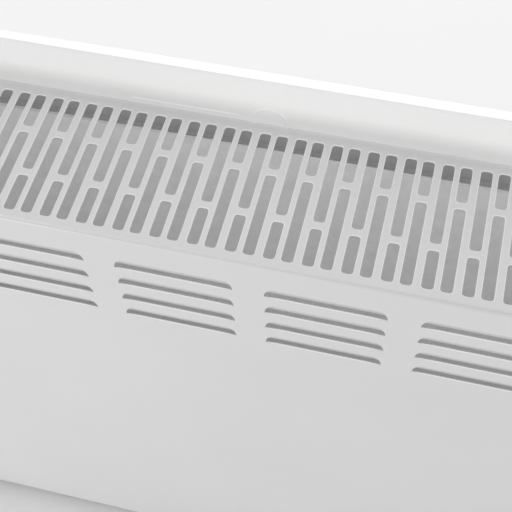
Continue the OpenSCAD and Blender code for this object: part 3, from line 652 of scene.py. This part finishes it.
def build_lip():
    """The lip folded to the rear on top, with a rolled upper edge and an undercut cut edge."""
    shell = Shell()
    roll, undercut, step_z = 0.35, 0.8, 0.7
    y_cut = Y_FRONT + LIP_D
    section = [(Y_FRONT + BEND_R, Z_TOP - FRONT_T), (Y_FRONT + BEND_R, Z_TOP)]
    section += arc_yz(y_cut - roll, Z_TOP - roll, roll, 90, -10, 6)
    section += [(y_cut - undercut, Z_TOP - step_z), (y_cut - undercut, Z_TOP - FRONT_T)]
    bars_between(shell, section + section[:1], -X_END, X_END)
    for x in (-X_END, X_END):
        shell.face([(x, y, z) for y, z in section], False)
    shell.build("front_lip", "heater", "front_panel", "white_paint", WHITE_PAINT)


def shield_profile(low, high, depth):
    """The shield's section in (y, z), depth below its rear face, hemmed below and above."""
    hem_y = high.y - 1.4
    r = FOLD_R
    profile = [(hem_y, low.z + depth)]
    profile += arc_yz(high.y - r, low.z + r, r - depth, 270, 360, 6)
    profile += arc_yz(high.y - r, high.z - r, r - depth, 0, 90, 6)
    return profile + [(hem_y, high.z - depth)]


def build_shield():
    """The heat shield: one sheet with a folded hem along its top and bottom edges."""
    shell = Shell()
    low, high = box_mm("heat_shield")
    outer, inner = (shield_profile(low, high, depth) for depth in (0.0, SHEET_T))
    upper = len(outer) // 2
    for profile in (outer, inner):
        bars_between(shell, profile[:upper], low.x, high.x)
        # painted shade: the upper hem takes the darker zinc
        shell.tone = HEM_SHADE_TONE
        bars_between(shell, profile[upper:], low.x, high.x)
        shell.tone = 0
    xs, _, zs = grid_mm("shield_screws", SCREW_HEAD_R)
    holes = [circle_loop(x, z, SCREW_HOLE_R, 16) for x in xs for z in zs]
    z0, z1 = low.z + FOLD_R, high.z - FOLD_R
    sheet_flat(shell, [(low.x, z0), (high.x, z0), (high.x, z1), (low.x, z1)], holes,
               lambda p, depth: (p[0], high.y - depth, p[1]), SHEET_T)
    close_sheet(shell, outer, inner, low.x, high.x)
    shell.build("shield_sheet", "heater", "heat_shield", "galvanised_steel",
                GALVANISED, HEM_SHADE_ZINC)


build_front()
build_lip()
build_shield()

# ---- end caps

CAP = {
    "width": 12.0,
    "over": 2.2,  # the rim stands this far outside the casing
    "corner": 5.0,
    "z0": 3.0,
    "wall": 2.0,
    "end_wall": 2.5,
    "fillet": 2.4,
    "rim_round": 0.4,
    "slope_end": 12.0,  # the top slopes from the back up to this far behind the front
    "gap": 0.1,  # round the sheets that the cap holds
}
KNOB_Z = middle_mm("thermostat_knob")[2]
POWER_Z = middle_mm("power_switch_housing")[2]
HEAT_Z = middle_mm("heat_switch_housing")[2]
LENS_Z = KNOB_Z - 35.0
SHAFT_HOLE_R = 3.6
LENS_HOLE_R = 3.9
CONTROL_SCREWS_Y = 11.0  # to each side of the knob's axis
SWITCH_HOLE = (13.0, 21.2)
DIAL = {"ticks": 11, "first": 225.0, "turn": 27.0, "inner": 19.5, "outer": 22.5,
        "long_outer": 23.5, "long_every": 5, "width": 1.0, "height": 0.25}


def cap_outline(inset, steps=8):
    """The cap's outline in (y, z), shrunk by inset."""
    y0, y1 = Y_FRONT - CAP["over"], Y_BACK + CAP["over"]
    z0, z1, z2 = CAP["z0"], Z_GRILLE + CAP["over"] + 1, Z_TOP + CAP["over"]
    c, slope_y = CAP["corner"], Y_FRONT + CAP["slope_end"]
    slope = math.degrees(math.atan2(z2 - z1, slope_y - y1))
    corners = [((y0 + c, z0 + c), 180, 270), ((y1 - c, z0 + c), 270, 360),
               ((y1 - c, z1 - c), 0, slope - 90), ((slope_y, z2 - c), slope - 90, 90),
               ((y0 + c, z2 - c), 90, 180)]
    loop = []
    for (cy, cz), start, end in corners:
        loop += arc_yz(cy, cz, c - inset, start, end, steps)
    return loop


def cap_cavity():
    """The inside of the cap in (y, z), round the front panel, its lip and the casing."""
    gap = CAP["gap"]
    y0, y1, z0 = Y_FRONT - 2 * gap, Y_BACK + 2 * gap, CAP["z0"] + CAP["wall"]
    y_band, y_lip = Y_BAND + gap, Y_FRONT + LIP_D + gap
    z_casing, z_lip, z_top = Z_GRILLE + gap, Z_TOP - BEND_R - gap, Z_TOP + gap
    return [(y0, z0), (y1, z0), (y1, z_casing), (y_band, z_casing), (y_band, z_lip),
            (y_lip, z_lip), (y_lip, z_top), (y0, z_top)]


def control_holes():
    """Openings for the shaft, the lens, two screws and the two switches, in (y, z)."""
    half_y, half_z = SWITCH_HOLE[0] / 2, SWITCH_HOLE[1] / 2
    holes = [circle_loop(0, KNOB_Z, SHAFT_HOLE_R), circle_loop(0, LENS_Z, LENS_HOLE_R)]
    holes += [circle_loop(y, KNOB_Z, SCREW_HOLE_R, 16)
              for y in (-CONTROL_SCREWS_Y, CONTROL_SCREWS_Y)]
    holes += [[(-half_y, z - half_z), (half_y, z - half_z), (half_y, z + half_z),
               (-half_y, z + half_z)] for z in (POWER_Z, HEAT_Z)]
    return holes


def dial_tick(shell, angle, inner, outer):
    """A short raised tick on the cap, pointing at the knob's axis."""
    a, half = math.radians(angle), DIAL["width"] / 2
    out, across = Vector((math.cos(a), math.sin(a))), Vector((-math.sin(a), math.cos(a)))
    base = [out * inner - across * half, out * outer - across * half,
            out * outer + across * half, out * inner + across * half]
    taper = 0.99
    foot = [(HALF_W, p.x, KNOB_Z + p.y) for p in base]
    top = [(HALF_W + DIAL["height"], p.x * taper, KNOB_Z + p.y * taper) for p in base]
    shell.strip(foot, top, closed=True, smooth=False)
    shell.face(top, False)


def build_dial(shell):
    for i in range(DIAL["ticks"]):
        outer = DIAL["outer"] if i % DIAL["long_every"] else DIAL["long_outer"]
        dial_tick(shell, DIAL["first"] - DIAL["turn"] * i, DIAL["inner"], outer)


def build_cap(side):
    """One end cap: rounded outer edge, rim over the casing, openings on the control side."""
    shell = Shell()

    def ring(x, loop):
        return [(side * x, y, z) for y, z in loop]
    rim_x, wall_x = HALF_W - CAP["width"], HALF_W - CAP["end_wall"]
    rows = [ring(rim_x, cap_outline(CAP["rim_round"])),
            ring(rim_x + CAP["rim_round"], cap_outline(0.0))]
    fillet, steps = CAP["fillet"], 6
    for i in range(steps + 1):
        a = math.pi / 2 * i / steps
        rows.append(ring(HALF_W - fillet * (1 - math.sin(a)),
                         cap_outline(fillet * (1 - math.cos(a)))))
    shell.tube(rows)
    cavity = cap_cavity()
    holes = control_holes() if side > 0 else []
    shell.flat(cap_outline(fillet), holes, lambda p: (side * HALF_W, p[0], p[1]))
    shell.flat(cavity, holes, lambda p: (side * wall_x, p[0], p[1]))
    shell.flat(cap_outline(CAP["rim_round"]), [cavity], lambda p: (side * rim_x, p[0], p[1]))
    shell.strip(ring(rim_x, cavity), ring(wall_x, cavity), closed=True, smooth=False)
    for loop in holes:
        is_round = len(loop) > 4
        shell.strip(ring(HALF_W, loop), ring(wall_x, loop), closed=True, smooth=is_round)
    if side > 0:
        shell.tone = INK_TONE
        build_dial(shell)
        shell.build("right_cap_shell", "heater", "right_end_cap", "cap_plastic",
                    CAP_PLASTIC, DARK_INK)
    else:
        shell.build("left_cap_shell", "heater", "left_end_cap", "cap_plastic", CAP_PLASTIC)


build_cap(-1)
build_cap(1)

# ---- turned and moulded pieces


AXIS_R = 0.01  # where a turned profile meets its axis


def plain_radius(radius, height, angle):
    return radius


def lathe(shell, profile, place, steps=48, radius_at=plain_radius):
    """Turns a (radius, height) profile; place puts (u, v, height) in the frame."""
    rows = []
    for radius, height in profile:
        row = []
        for i in range(steps):
            a = 2 * math.pi * i / steps
            r = radius_at(radius, height, a)
            row.append(place(r * math.cos(a), r * math.sin(a), height))
        rows.append(row)
    shell.tube(rows, capped=True)


def soft_profile(points, radius, steps=4):
    """Rounds the corners of a (radius, height) polyline."""
    out = [points[0]]
    for a, b, c in zip(points, points[1:], points[2:]):
        a, b, c = Vector(a), Vector(b), Vector(c)
        reach = min(radius, (b - a).length * 0.45, (c - b).length * 0.45)
        p, q = b + (a - b).normalized() * reach, b + (c - b).normalized() * reach
        for i in range(steps + 1):
            t = i / steps
            out.append(tuple(p * (1 - t) ** 2 + b * 2 * t * (1 - t) + q * t ** 2))
    return out + [points[-1]]


def along(axis, centre):
    """Maps (u, v, h) so that h runs along +axis from centre."""
    cx, cy, cz = centre
    if axis == "x":
        return lambda u, v, h: (cx + h, cy + u, cz + v)
    if axis == "y":
        return lambda u, v, h: (cx + u, cy + h, cz + v)
    return lambda u, v, h: (cx + u, cy + v, cz + h)


KNOB = {"height": 14.0, "bore": 3.05, "hub": 6.0, "hub_z": 1.6, "skirt_w": 2.0, "skirt_z": 3.0,
        "grips": 24, "grip_depth": 0.8, "soft": 0.9}
POINTER = {"half_w": 2.0, "start": 2.2, "rise": 0.9, "inset": 2.2, "foot_z": 3.2}


def knob_profile(radius):
    """The knob's section in (radius, height): bore, hub, skirt, tapered grip and face."""
    height, skirt_r = KNOB["height"], radius - KNOB["skirt_w"]
    profile = [(KNOB["bore"], 0.0), (KNOB["hub"], 0.0), (KNOB["hub"], KNOB["hub_z"]),
               (skirt_r, KNOB["hub_z"]), (skirt_r, 0.0)]
    profile += soft_profile([(skirt_r, 0.0), (radius, 0.0), (radius, KNOB["skirt_z"]),
                             (skirt_r - 0.4, KNOB["skirt_z"] + 0.4), (skirt_r - 0.9, height),
                             (3.0, height)], KNOB["soft"])[1:]
    return profile + [(3.0, height), (AXIS_R, height)]


def grip_radius(radius, height, angle):
    """Cuts the finger grooves into the knob's side, clear of its skirt and its face."""
    above_skirt, below_face, outside = KNOB["skirt_z"] + 0.4, KNOB["height"] - 0.6, 12
    if above_skirt < height < below_face and radius > outside:
        wave = max(0.0, math.cos(KNOB["grips"] * angle + math.pi)) ** 3
        return radius - KNOB["grip_depth"] * wave
    return radius


def build_pointer(shell, radius, x0):
    """A rounded rib across the knob's face and down its side, with a light middle line."""
    half_w, tip = POINTER["half_w"], radius - POINTER["inset"]
    face_x = KNOB["height"] + POINTER["rise"]
    rib = soft_profile([(POINTER["start"], KNOB["height"] - 0.4), (POINTER["start"], face_x),
                        (tip, face_x), (tip + 0.4, POINTER["foot_z"])], KNOB["soft"])
    for y in (-half_w, half_w):
        for (za, xa), (zb, xb) in zip(rib, rib[1:]):
            shell.face([(x0 + xa, y, KNOB_Z + za), (x0 + xb, y, KNOB_Z + zb),
                        (x0 + xb - 1, y, KNOB_Z + zb - 1),
                        (x0 + xa - 1, y, KNOB_Z + za - 1)], False)
    # across the rib: place from side to side, and how far the edge is rounded down
    crown = [(-1.0, 0.55), (-0.85, 0.2), (-0.5, 0.04), (0.0, 0.0), (0.5, 0.04), (0.85, 0.2),
             (1.0, 0.55)]
    rows = [[(x0 + x - drop, half_w * c, KNOB_Z + z) for z, x in rib] for c, drop in crown]
    middle = (2, 3)
    for i, (row_a, row_b) in enumerate(zip(rows, rows[1:])):
        shell.tone = INK_TONE if i in middle else 0
        shell.strip(row_a, row_b)


def build_knob():
    low, high = box_mm("thermostat_knob")
    radius = (high.z - low.z) / 2
    shell = Shell()
    place = along("x", (low.x, 0, KNOB_Z))
    lathe(shell, knob_profile(radius), place, 192, grip_radius)
    build_pointer(shell, radius, low.x)
    shell.build("knob_shell", "thermostat_dial", "thermostat_knob", "knob_plastic",
                MATERIALS["knob_plastic"], LIGHT_INK)


ROCKER = {"pivot_depth": 3.8, "width": 10.2, "crown": 4.6, "dish": 1.4, "half_length": 8.9,
          "tilt": 10.0, "edge": 0.5}


def rocker_outline(steps=12):
    """The rocker's side view in (x, z) about its pivot: a dished face and a short back."""
    crown, edge = ROCKER["crown"], ROCKER["edge"]
    face = []
    for i in range(steps + 1):
        t = 2 * i / steps - 1
        chamfer = edge if abs(t) == 1 else 0.0
        face.append((crown + ROCKER["dish"] * t * t - chamfer, ROCKER["half_length"] * t))
    back_x, back_z, shoulder_x = -2.0, 3.0, crown - 1.6
    return face + [(shoulder_x, 9.2), (back_x, back_z), (back_x, -back_z), (shoulder_x, -9.2)]


def build_rocker(node_name, body, z_mid):
    """A rocker with a dished face, standing in its off position."""
    shell = Shell()
    pivot_x, tilt = HALF_W - ROCKER["pivot_depth"], math.radians(ROCKER["tilt"])
    outline, mid = rocker_outline(), Vector((0.5, 0.0))
    # across the rocker: share of its width, and how far the outline is drawn in there
    rows = []
    for share, inset in ((-0.5, 0.55), (-0.47, 0.2), (-0.4, 0.0), (0.4, 0.0), (0.47, 0.2),
                         (0.5, 0.55)):
        row = []
        for point in outline:
            p = mid + (Vector(point) - mid) * (1 - inset / 9)
            row.append((pivot_x + p.x * math.cos(tilt) + p.y * math.sin(tilt),
                        share * ROCKER["width"],
                        z_mid - p.x * math.sin(tilt) + p.y * math.cos(tilt)))
        rows.append(row)
    shell.tube(rows, capped=True)
    shell.build(node_name + "_shell", body, node_name, "rocker_plastic",
                MATERIALS["rocker_plastic"])


def build_turned(name, node_name, slot, profile, axis, centres, steps=48,
                 radius_at=plain_radius):
    """One piece with the same turned profile at each centre."""
    shell = Shell()
    for centre in centres:
        lathe(shell, profile, along(axis, centre), steps, radius_at)
    shell.build(name, "heater", node_name, slot, MATERIALS[slot])


def sweep(shell, path, radius, steps=20):
    """A round tube along a path of points in millimetres."""
    rows = []
    side = (path[1] - path[0]).orthogonal()
    for i, p in enumerate(path):
        tangent = (path[min(i + 1, len(path) - 1)] - path[max(i - 1, 0)]).normalized()
        side = (side - tangent * side.dot(tangent)).normalized()
        other = tangent.cross(side)
        rows.append([p + (side * math.cos(2 * math.pi * k / steps)
                          + other * math.sin(2 * math.pi * k / steps)) * radius
                     for k in range(steps)])
    shell.tube(rows, capped=True)


def arc3(centre, u, v, radius, start, end, steps=14):
    """Points on an arc in the plane of the unit vectors u and v."""
    points = []
    for i in range(steps + 1):
        a = math.radians(start + (end - start) * i / steps)
        points.append(Vector(centre) + Vector(u) * radius * math.cos(a)
                      + Vector(v) * radius * math.sin(a))
    return points


LEAD = {"radius": 3.6, "rest_z": 3.7, "drop_r": 12.0, "turn_r": 28.0, "lift_r": 20.0,
        "lift": 45.0, "gland_x": HALF_W - 22, "gland_z": 30.0}
PLUG = {"radius": 18.0, "length": 36.0, "x": box_mm("plug_body")[0].x,
        "y": Y_BACK + 42 + 3 * LEAD["turn_r"], "flat_from": 18.0, "flat_depth": 1.5,
        "pins_y": 9.5}


def lead_path():
    """From the gland down to the floor, round two bends, and up into the plug."""
    x, z, rest = LEAD["gland_x"], LEAD["gland_z"], LEAD["rest_z"]
    drop_r, turn_r, lift_r, lift = (LEAD[key] for key in ("drop_r", "turn_r", "lift_r", "lift"))
    floor_y = Y_BACK + 38
    turn_x, turn_y = x - turn_r, floor_y + 4
    rise = PLUG["radius"] - rest - 2 * lift_r * (1 - math.cos(math.radians(lift)))
    plug_start_x = x + 2 * lift_r * math.sin(math.radians(lift)) + rise
    ex, ey, ez = (1, 0, 0), (0, 1, 0), (0, 0, 1)
    path = [Vector((x, Y_BACK - 26, z)), Vector((x, Y_BACK, z))]
    path += arc3((x, Y_BACK + 14, z - drop_r), ey, ez, drop_r, 90, 0)
    path += arc3((x, floor_y, rest + drop_r), ey, ez, drop_r, 180, 270)
    path += arc3((turn_x, turn_y, rest), ex, ey, turn_r, 0, 90)
    path += arc3((turn_x - 10, turn_y + 2 * turn_r, rest), ex, ey, turn_r, 270, 90, 28)
    path += arc3((x, PLUG["y"], rest + lift_r), ex, ez, lift_r, 270, 270 + lift)
    path += arc3((plug_start_x, PLUG["y"], PLUG["radius"] - lift_r), ex, ez, lift_r,
                 90 + lift, 90)
    path.append(Vector((PLUG["x"] + 8, PLUG["y"], PLUG["radius"])))
    shortest_step = 0.4
    spaced = path[:1]
    for p in path[1:]:
        if (p - spaced[-1]).length > shortest_step:
            spaced.append(p)
    return spaced


def build_cable():
    shell = Shell()
    sweep(shell, lead_path(), LEAD["radius"])
    shell.build("lead_tube", "heater", "mains_cable", "cable_sheath",
                MATERIALS["cable_sheath"])


def build_gland():
    """A collar on each side of the back panel and a tapering sleeve round the lead."""
    bore = 3.7
    profile = soft_profile([(bore, -5.8), (8.0, -5.8), (8.0, -1.0), (6.0, -0.9), (6.0, 0.0),
                            (8.5, 0.0), (8.5, 2.0), (6.0, 2.2), (5.6, 5.0), (4.7, 12.0),
                            (bore, 12.0)], 0.4)
    build_turned("gland_shell", "cable_gland", "dark_plastic", profile, "y",
                 [(LEAD["gland_x"], Y_BACK, LEAD["gland_z"])])


def plug_radius(radius, height, angle):
    """Cuts a shallow recess into the two edges of the plug's head."""
    at_edge = abs(abs(math.sin(angle)) - 1) < 0.014
    if at_edge and height > PLUG["flat_from"]:
        return min(radius, PLUG["radius"] - PLUG["flat_depth"])
    return radius


def build_plug():
    """The plug's sleeve and round head, and its two pins."""
    r, length = PLUG["radius"], PLUG["length"]
    profile = soft_profile([(3.7, 0.0), (5.5, 0.0), (9.0, 14.0), (13.0, 14.6), (r, 19.2),
                            (r, length), (AXIS_R, length)], 1.6)
    build_turned("plug_shell", "plug_body", "cable_sheath", profile, "x",
                 [(PLUG["x"], PLUG["y"], r)], 96, plug_radius)
    pin_r, pin_end = 2.4, 19.0
    pin = soft_profile([(AXIS_R, -0.2), (pin_r, -0.2), (pin_r, pin_end - 0.8),
                        (1.5, pin_end), (AXIS_R, pin_end)], 0.7)
    build_turned("plug_pin_shells", "plug_pins", "nickel", pin, "x",
                 [(PLUG["x"] + length, PLUG["y"] + y, r)
                  for y in (-PLUG["pins_y"], PLUG["pins_y"])], 32)


def build_feet():
    """Four pads, each with a neck that goes up into the heater's underside."""
    pad_r, neck_r = 5.0, 2.0
    xs, ys, _ = grid_mm("rubber_feet", pad_r)
    profile = soft_profile([(AXIS_R, 0), (4.6, 0), (pad_r, 0.8), (4.8, 3.0), (neck_r, 3.0),
                            (neck_r, 6.0), (AXIS_R, 6.0)], 0.5)
    build_turned("feet_shells", "rubber_feet", "rubber", profile, "z",
                 [(x, y, 0) for x in xs for y in ys], 32)


def build_buffers():
    """Four stand-offs with a hollow end, each with a neck through the back panel."""
    neck_r = 2.0
    xs, _, zs = grid_mm("wall_buffers", BUFFER_R)
    profile = soft_profile([(AXIS_R, -4), (neck_r, -4), (neck_r, 0), (BUFFER_R, 0),
                            (6.7, 10.5), (6.0, 12.0), (3.6, 12.0), (3.2, 11.2),
                            (AXIS_R, 11.2)], 0.9)
    build_turned("buffer_shells", "wall_buffers", "rubber", profile, "y",
                 [(x, Y_BACK, z) for x in xs for z in zs], 40)


def build_lens():
    """The indicator lens: a stem, a thin collar and a domed front."""
    stem_r, collar_z = 3.8, 4.5
    profile = [(AXIS_R, 0.0), (stem_r, 0.0), (stem_r, collar_z)]
    profile += soft_profile([(stem_r, collar_z), (4.8, collar_z), (4.8, 5.3), (stem_r, 5.5)],
                            0.3)
    profile += [(5.0 * math.sin(a), 2.3 + 5.2 * math.cos(a))
                for a in (0.8 - 0.08 * i for i in range(1, 10))]
    profile.append((AXIS_R, 7.5))
    build_turned("lens_shell", "indicator_lens", "lens_red", profile, "x",
                 [(HALF_W - 4.5, 0, LENS_Z)], 40)


build_knob()
build_rocker("power_rocker", "power_button", POWER_Z)
build_rocker("heat_rocker", "heat_button", HEAT_Z)
build_cable()
build_gland()
build_plug()
build_feet()
build_buffers()
build_lens()

# ---- edges of the CAD nodes

# by the width of their rounding, the nodes that keep their CAD mesh
SOFT_EDGES = {
    0.12: ["terminal_screws"],
    0.2: ["element_terminals", "bulb_clip", "earth_stud"],
    0.25: ["inlet_guard", "left_inner_plate", "right_inner_plate", "thermostat_shaft",
           "cap_screws", "plate_screws", "shield_screws", "guard_screws", "control_screws"],
    0.3: ["sensor_bulb"],
    0.35: ["power_switch_housing", "heat_switch_housing", "thermal_cutout"],
    0.4: ["element_fins", "element_bushes", "element_rod", "terminal_block"],
    0.5: ["element_insulators", "indicator_lamp"],
    0.6: ["thermostat_body"],
}


def soften_edges(cad, width):
    """Welds a CAD node's mesh, then rounds its sharp edges."""
    weld = cad.modifiers.new("weld", "WELD")
    weld.merge_threshold = 0.005 * MM
    bevel = cad.modifiers.new("bevel", "BEVEL")
    bevel.width = width * MM
    bevel.segments = 2
    bevel.limit_method = "ANGLE"
    bevel.angle_limit = math.radians(38)
    bevel.use_clamp_overlap = True
    bevel.harden_normals = True


for edge_width, node_names in SOFT_EDGES.items():
    for node_name in node_names:
        soften_edges(frame["nodes"][node_name], edge_width)

# ---- camera, light, floor


CAPS = ["left_cap_shell", "right_cap_shell"]
# name, place, target, size, watts, the pieces it lights, further pieces that stop it
LAMPS = [
    ("front", (0.1, -2.4, 1.9), (0, 0, 0.3), (2.6, 1.0), 15,
     ["floor"], ["front_sheet", "casing_sheet"] + CAPS),
    ("face", (-0.9, -2.2, 0.9), (0, 0, 0.25), (0.8, 0.8), 2.5, ["front_sheet"], []),
    ("side_back", (0.85, 0.5, 0.16), (0.1, 0.04, 0.25), (0.3, 0.3), 2.0,
     ["casing_sheet"], CAPS),
    ("inner_fill", (-0.1, 0.95, 0.75), (0, -0.03, 0.34), (0.8, 0.3), 3.4,
     ["shield_sheet"], ["front_sheet"]),
    # between the shield and the front panel
    ("gap_glow", (0, -0.0288, 0.371), (0, -0.05, 0.371), (0.59, 0.014), 0.004,
     ["front_sheet", "casing_sheet"], []),
    ("band_card", (0, 1.0, 0.253), (0, -0.04, 0.4), (1.6, 0.12), 3.1,
     ["front_sheet"], ["casing_sheet"]),
    ("lip_top", (0, -0.3, 1.6), (0, -0.04, 0.42), (1.2, 0.6), 4.5,
     ["front_lip", "front_sheet"], ["casing_sheet"]),
]


def soft_light(name, place, target, size, watts):
    data = bpy.data.lights.new(name, "AREA")
    data.shape = "RECTANGLE"
    data.size, data.size_y = size
    data.energy = watts
    lamp = bpy.data.objects.new(name, data)
    bpy.context.scene.collection.objects.link(lamp)
    lamp.location = place
    lamp.rotation_mode = "QUATERNION"
    direction = Vector(target) - Vector(place)
    lamp.rotation_quaternion = direction.to_track_quat("-Z", "Y")
    return lamp


def light_only(lamp, receivers, blockers):
    """The lamp lights only the receivers, and only the blockers and receivers stop it."""
    for label, names in (("receiver", receivers), ("blocker", blockers + receivers)):
        group = bpy.data.collections.new(lamp.name + "_" + label)
        for name in names:
            group.objects.link(bpy.context.scene.objects[name])
        setattr(lamp.light_linking, label + "_collection", group)


def build_floor():
    mesh = bpy.data.meshes.new("floor")
    reach = 6.0
    corners = [(-reach, -reach, 0), (reach, -reach, 0), (reach, reach, 0), (-reach, reach, 0)]
    mesh.from_pydata(corners, [], [(0, 1, 2, 3)])
    mesh.materials.append(surface("floor_finish", (0.86, 0.86, 0.86), 0.7, mottle=0.01,
                                  mottle_scale=3.0, grain=0.1))
    floor = bpy.data.objects.new("floor", mesh)
    bpy.context.scene.collection.objects.link(floor)


def build_lamps():
    for name, place, target, size, watts, receivers, blockers in LAMPS:
        lamp = soft_light(name, place, target, size, watts)
        light_only(lamp, receivers, blockers)


def build_world():
    """Even white light from all round."""
    world = bpy.data.worlds.new("studio")
    bpy.context.scene.world = world
    world.use_nodes = True
    background = world.node_tree.nodes["Background"]
    background.inputs["Color"].default_value = (1, 1, 1, 1)
    background.inputs["Strength"].default_value = 0.93
    bpy.context.scene.view_settings.view_transform = "Standard"


CAMERA = {"place": (-71.7, 264.9, 750.3), "forward": (0.15656, -0.52767, -0.83489),
          "up": (0.18554, -0.81456, 0.54961), "lens": 72.0, "sensor": 36.0, "near": 0.01}


def build_camera():
    """Close up on the top rear edge, seen from behind, above and a little to one side."""
    data = bpy.data.cameras.new("camera")
    data.sensor_width = CAMERA["sensor"]
    data.lens = CAMERA["lens"]
    data.clip_start = CAMERA["near"]
    camera = bpy.data.objects.new("camera", data)
    bpy.context.scene.collection.objects.link(camera)
    camera.location = Vector(CAMERA["place"]) * MM
    forward = Vector(CAMERA["forward"]).normalized()
    right = forward.cross(Vector(CAMERA["up"])).normalized()
    up = right.cross(forward)
    camera.rotation_mode = "QUATERNION"
    camera.rotation_quaternion = Matrix((right, up, -forward)).transposed().to_quaternion()
    bpy.context.scene.camera = camera


build_floor()
build_lamps()
build_world()
build_camera()
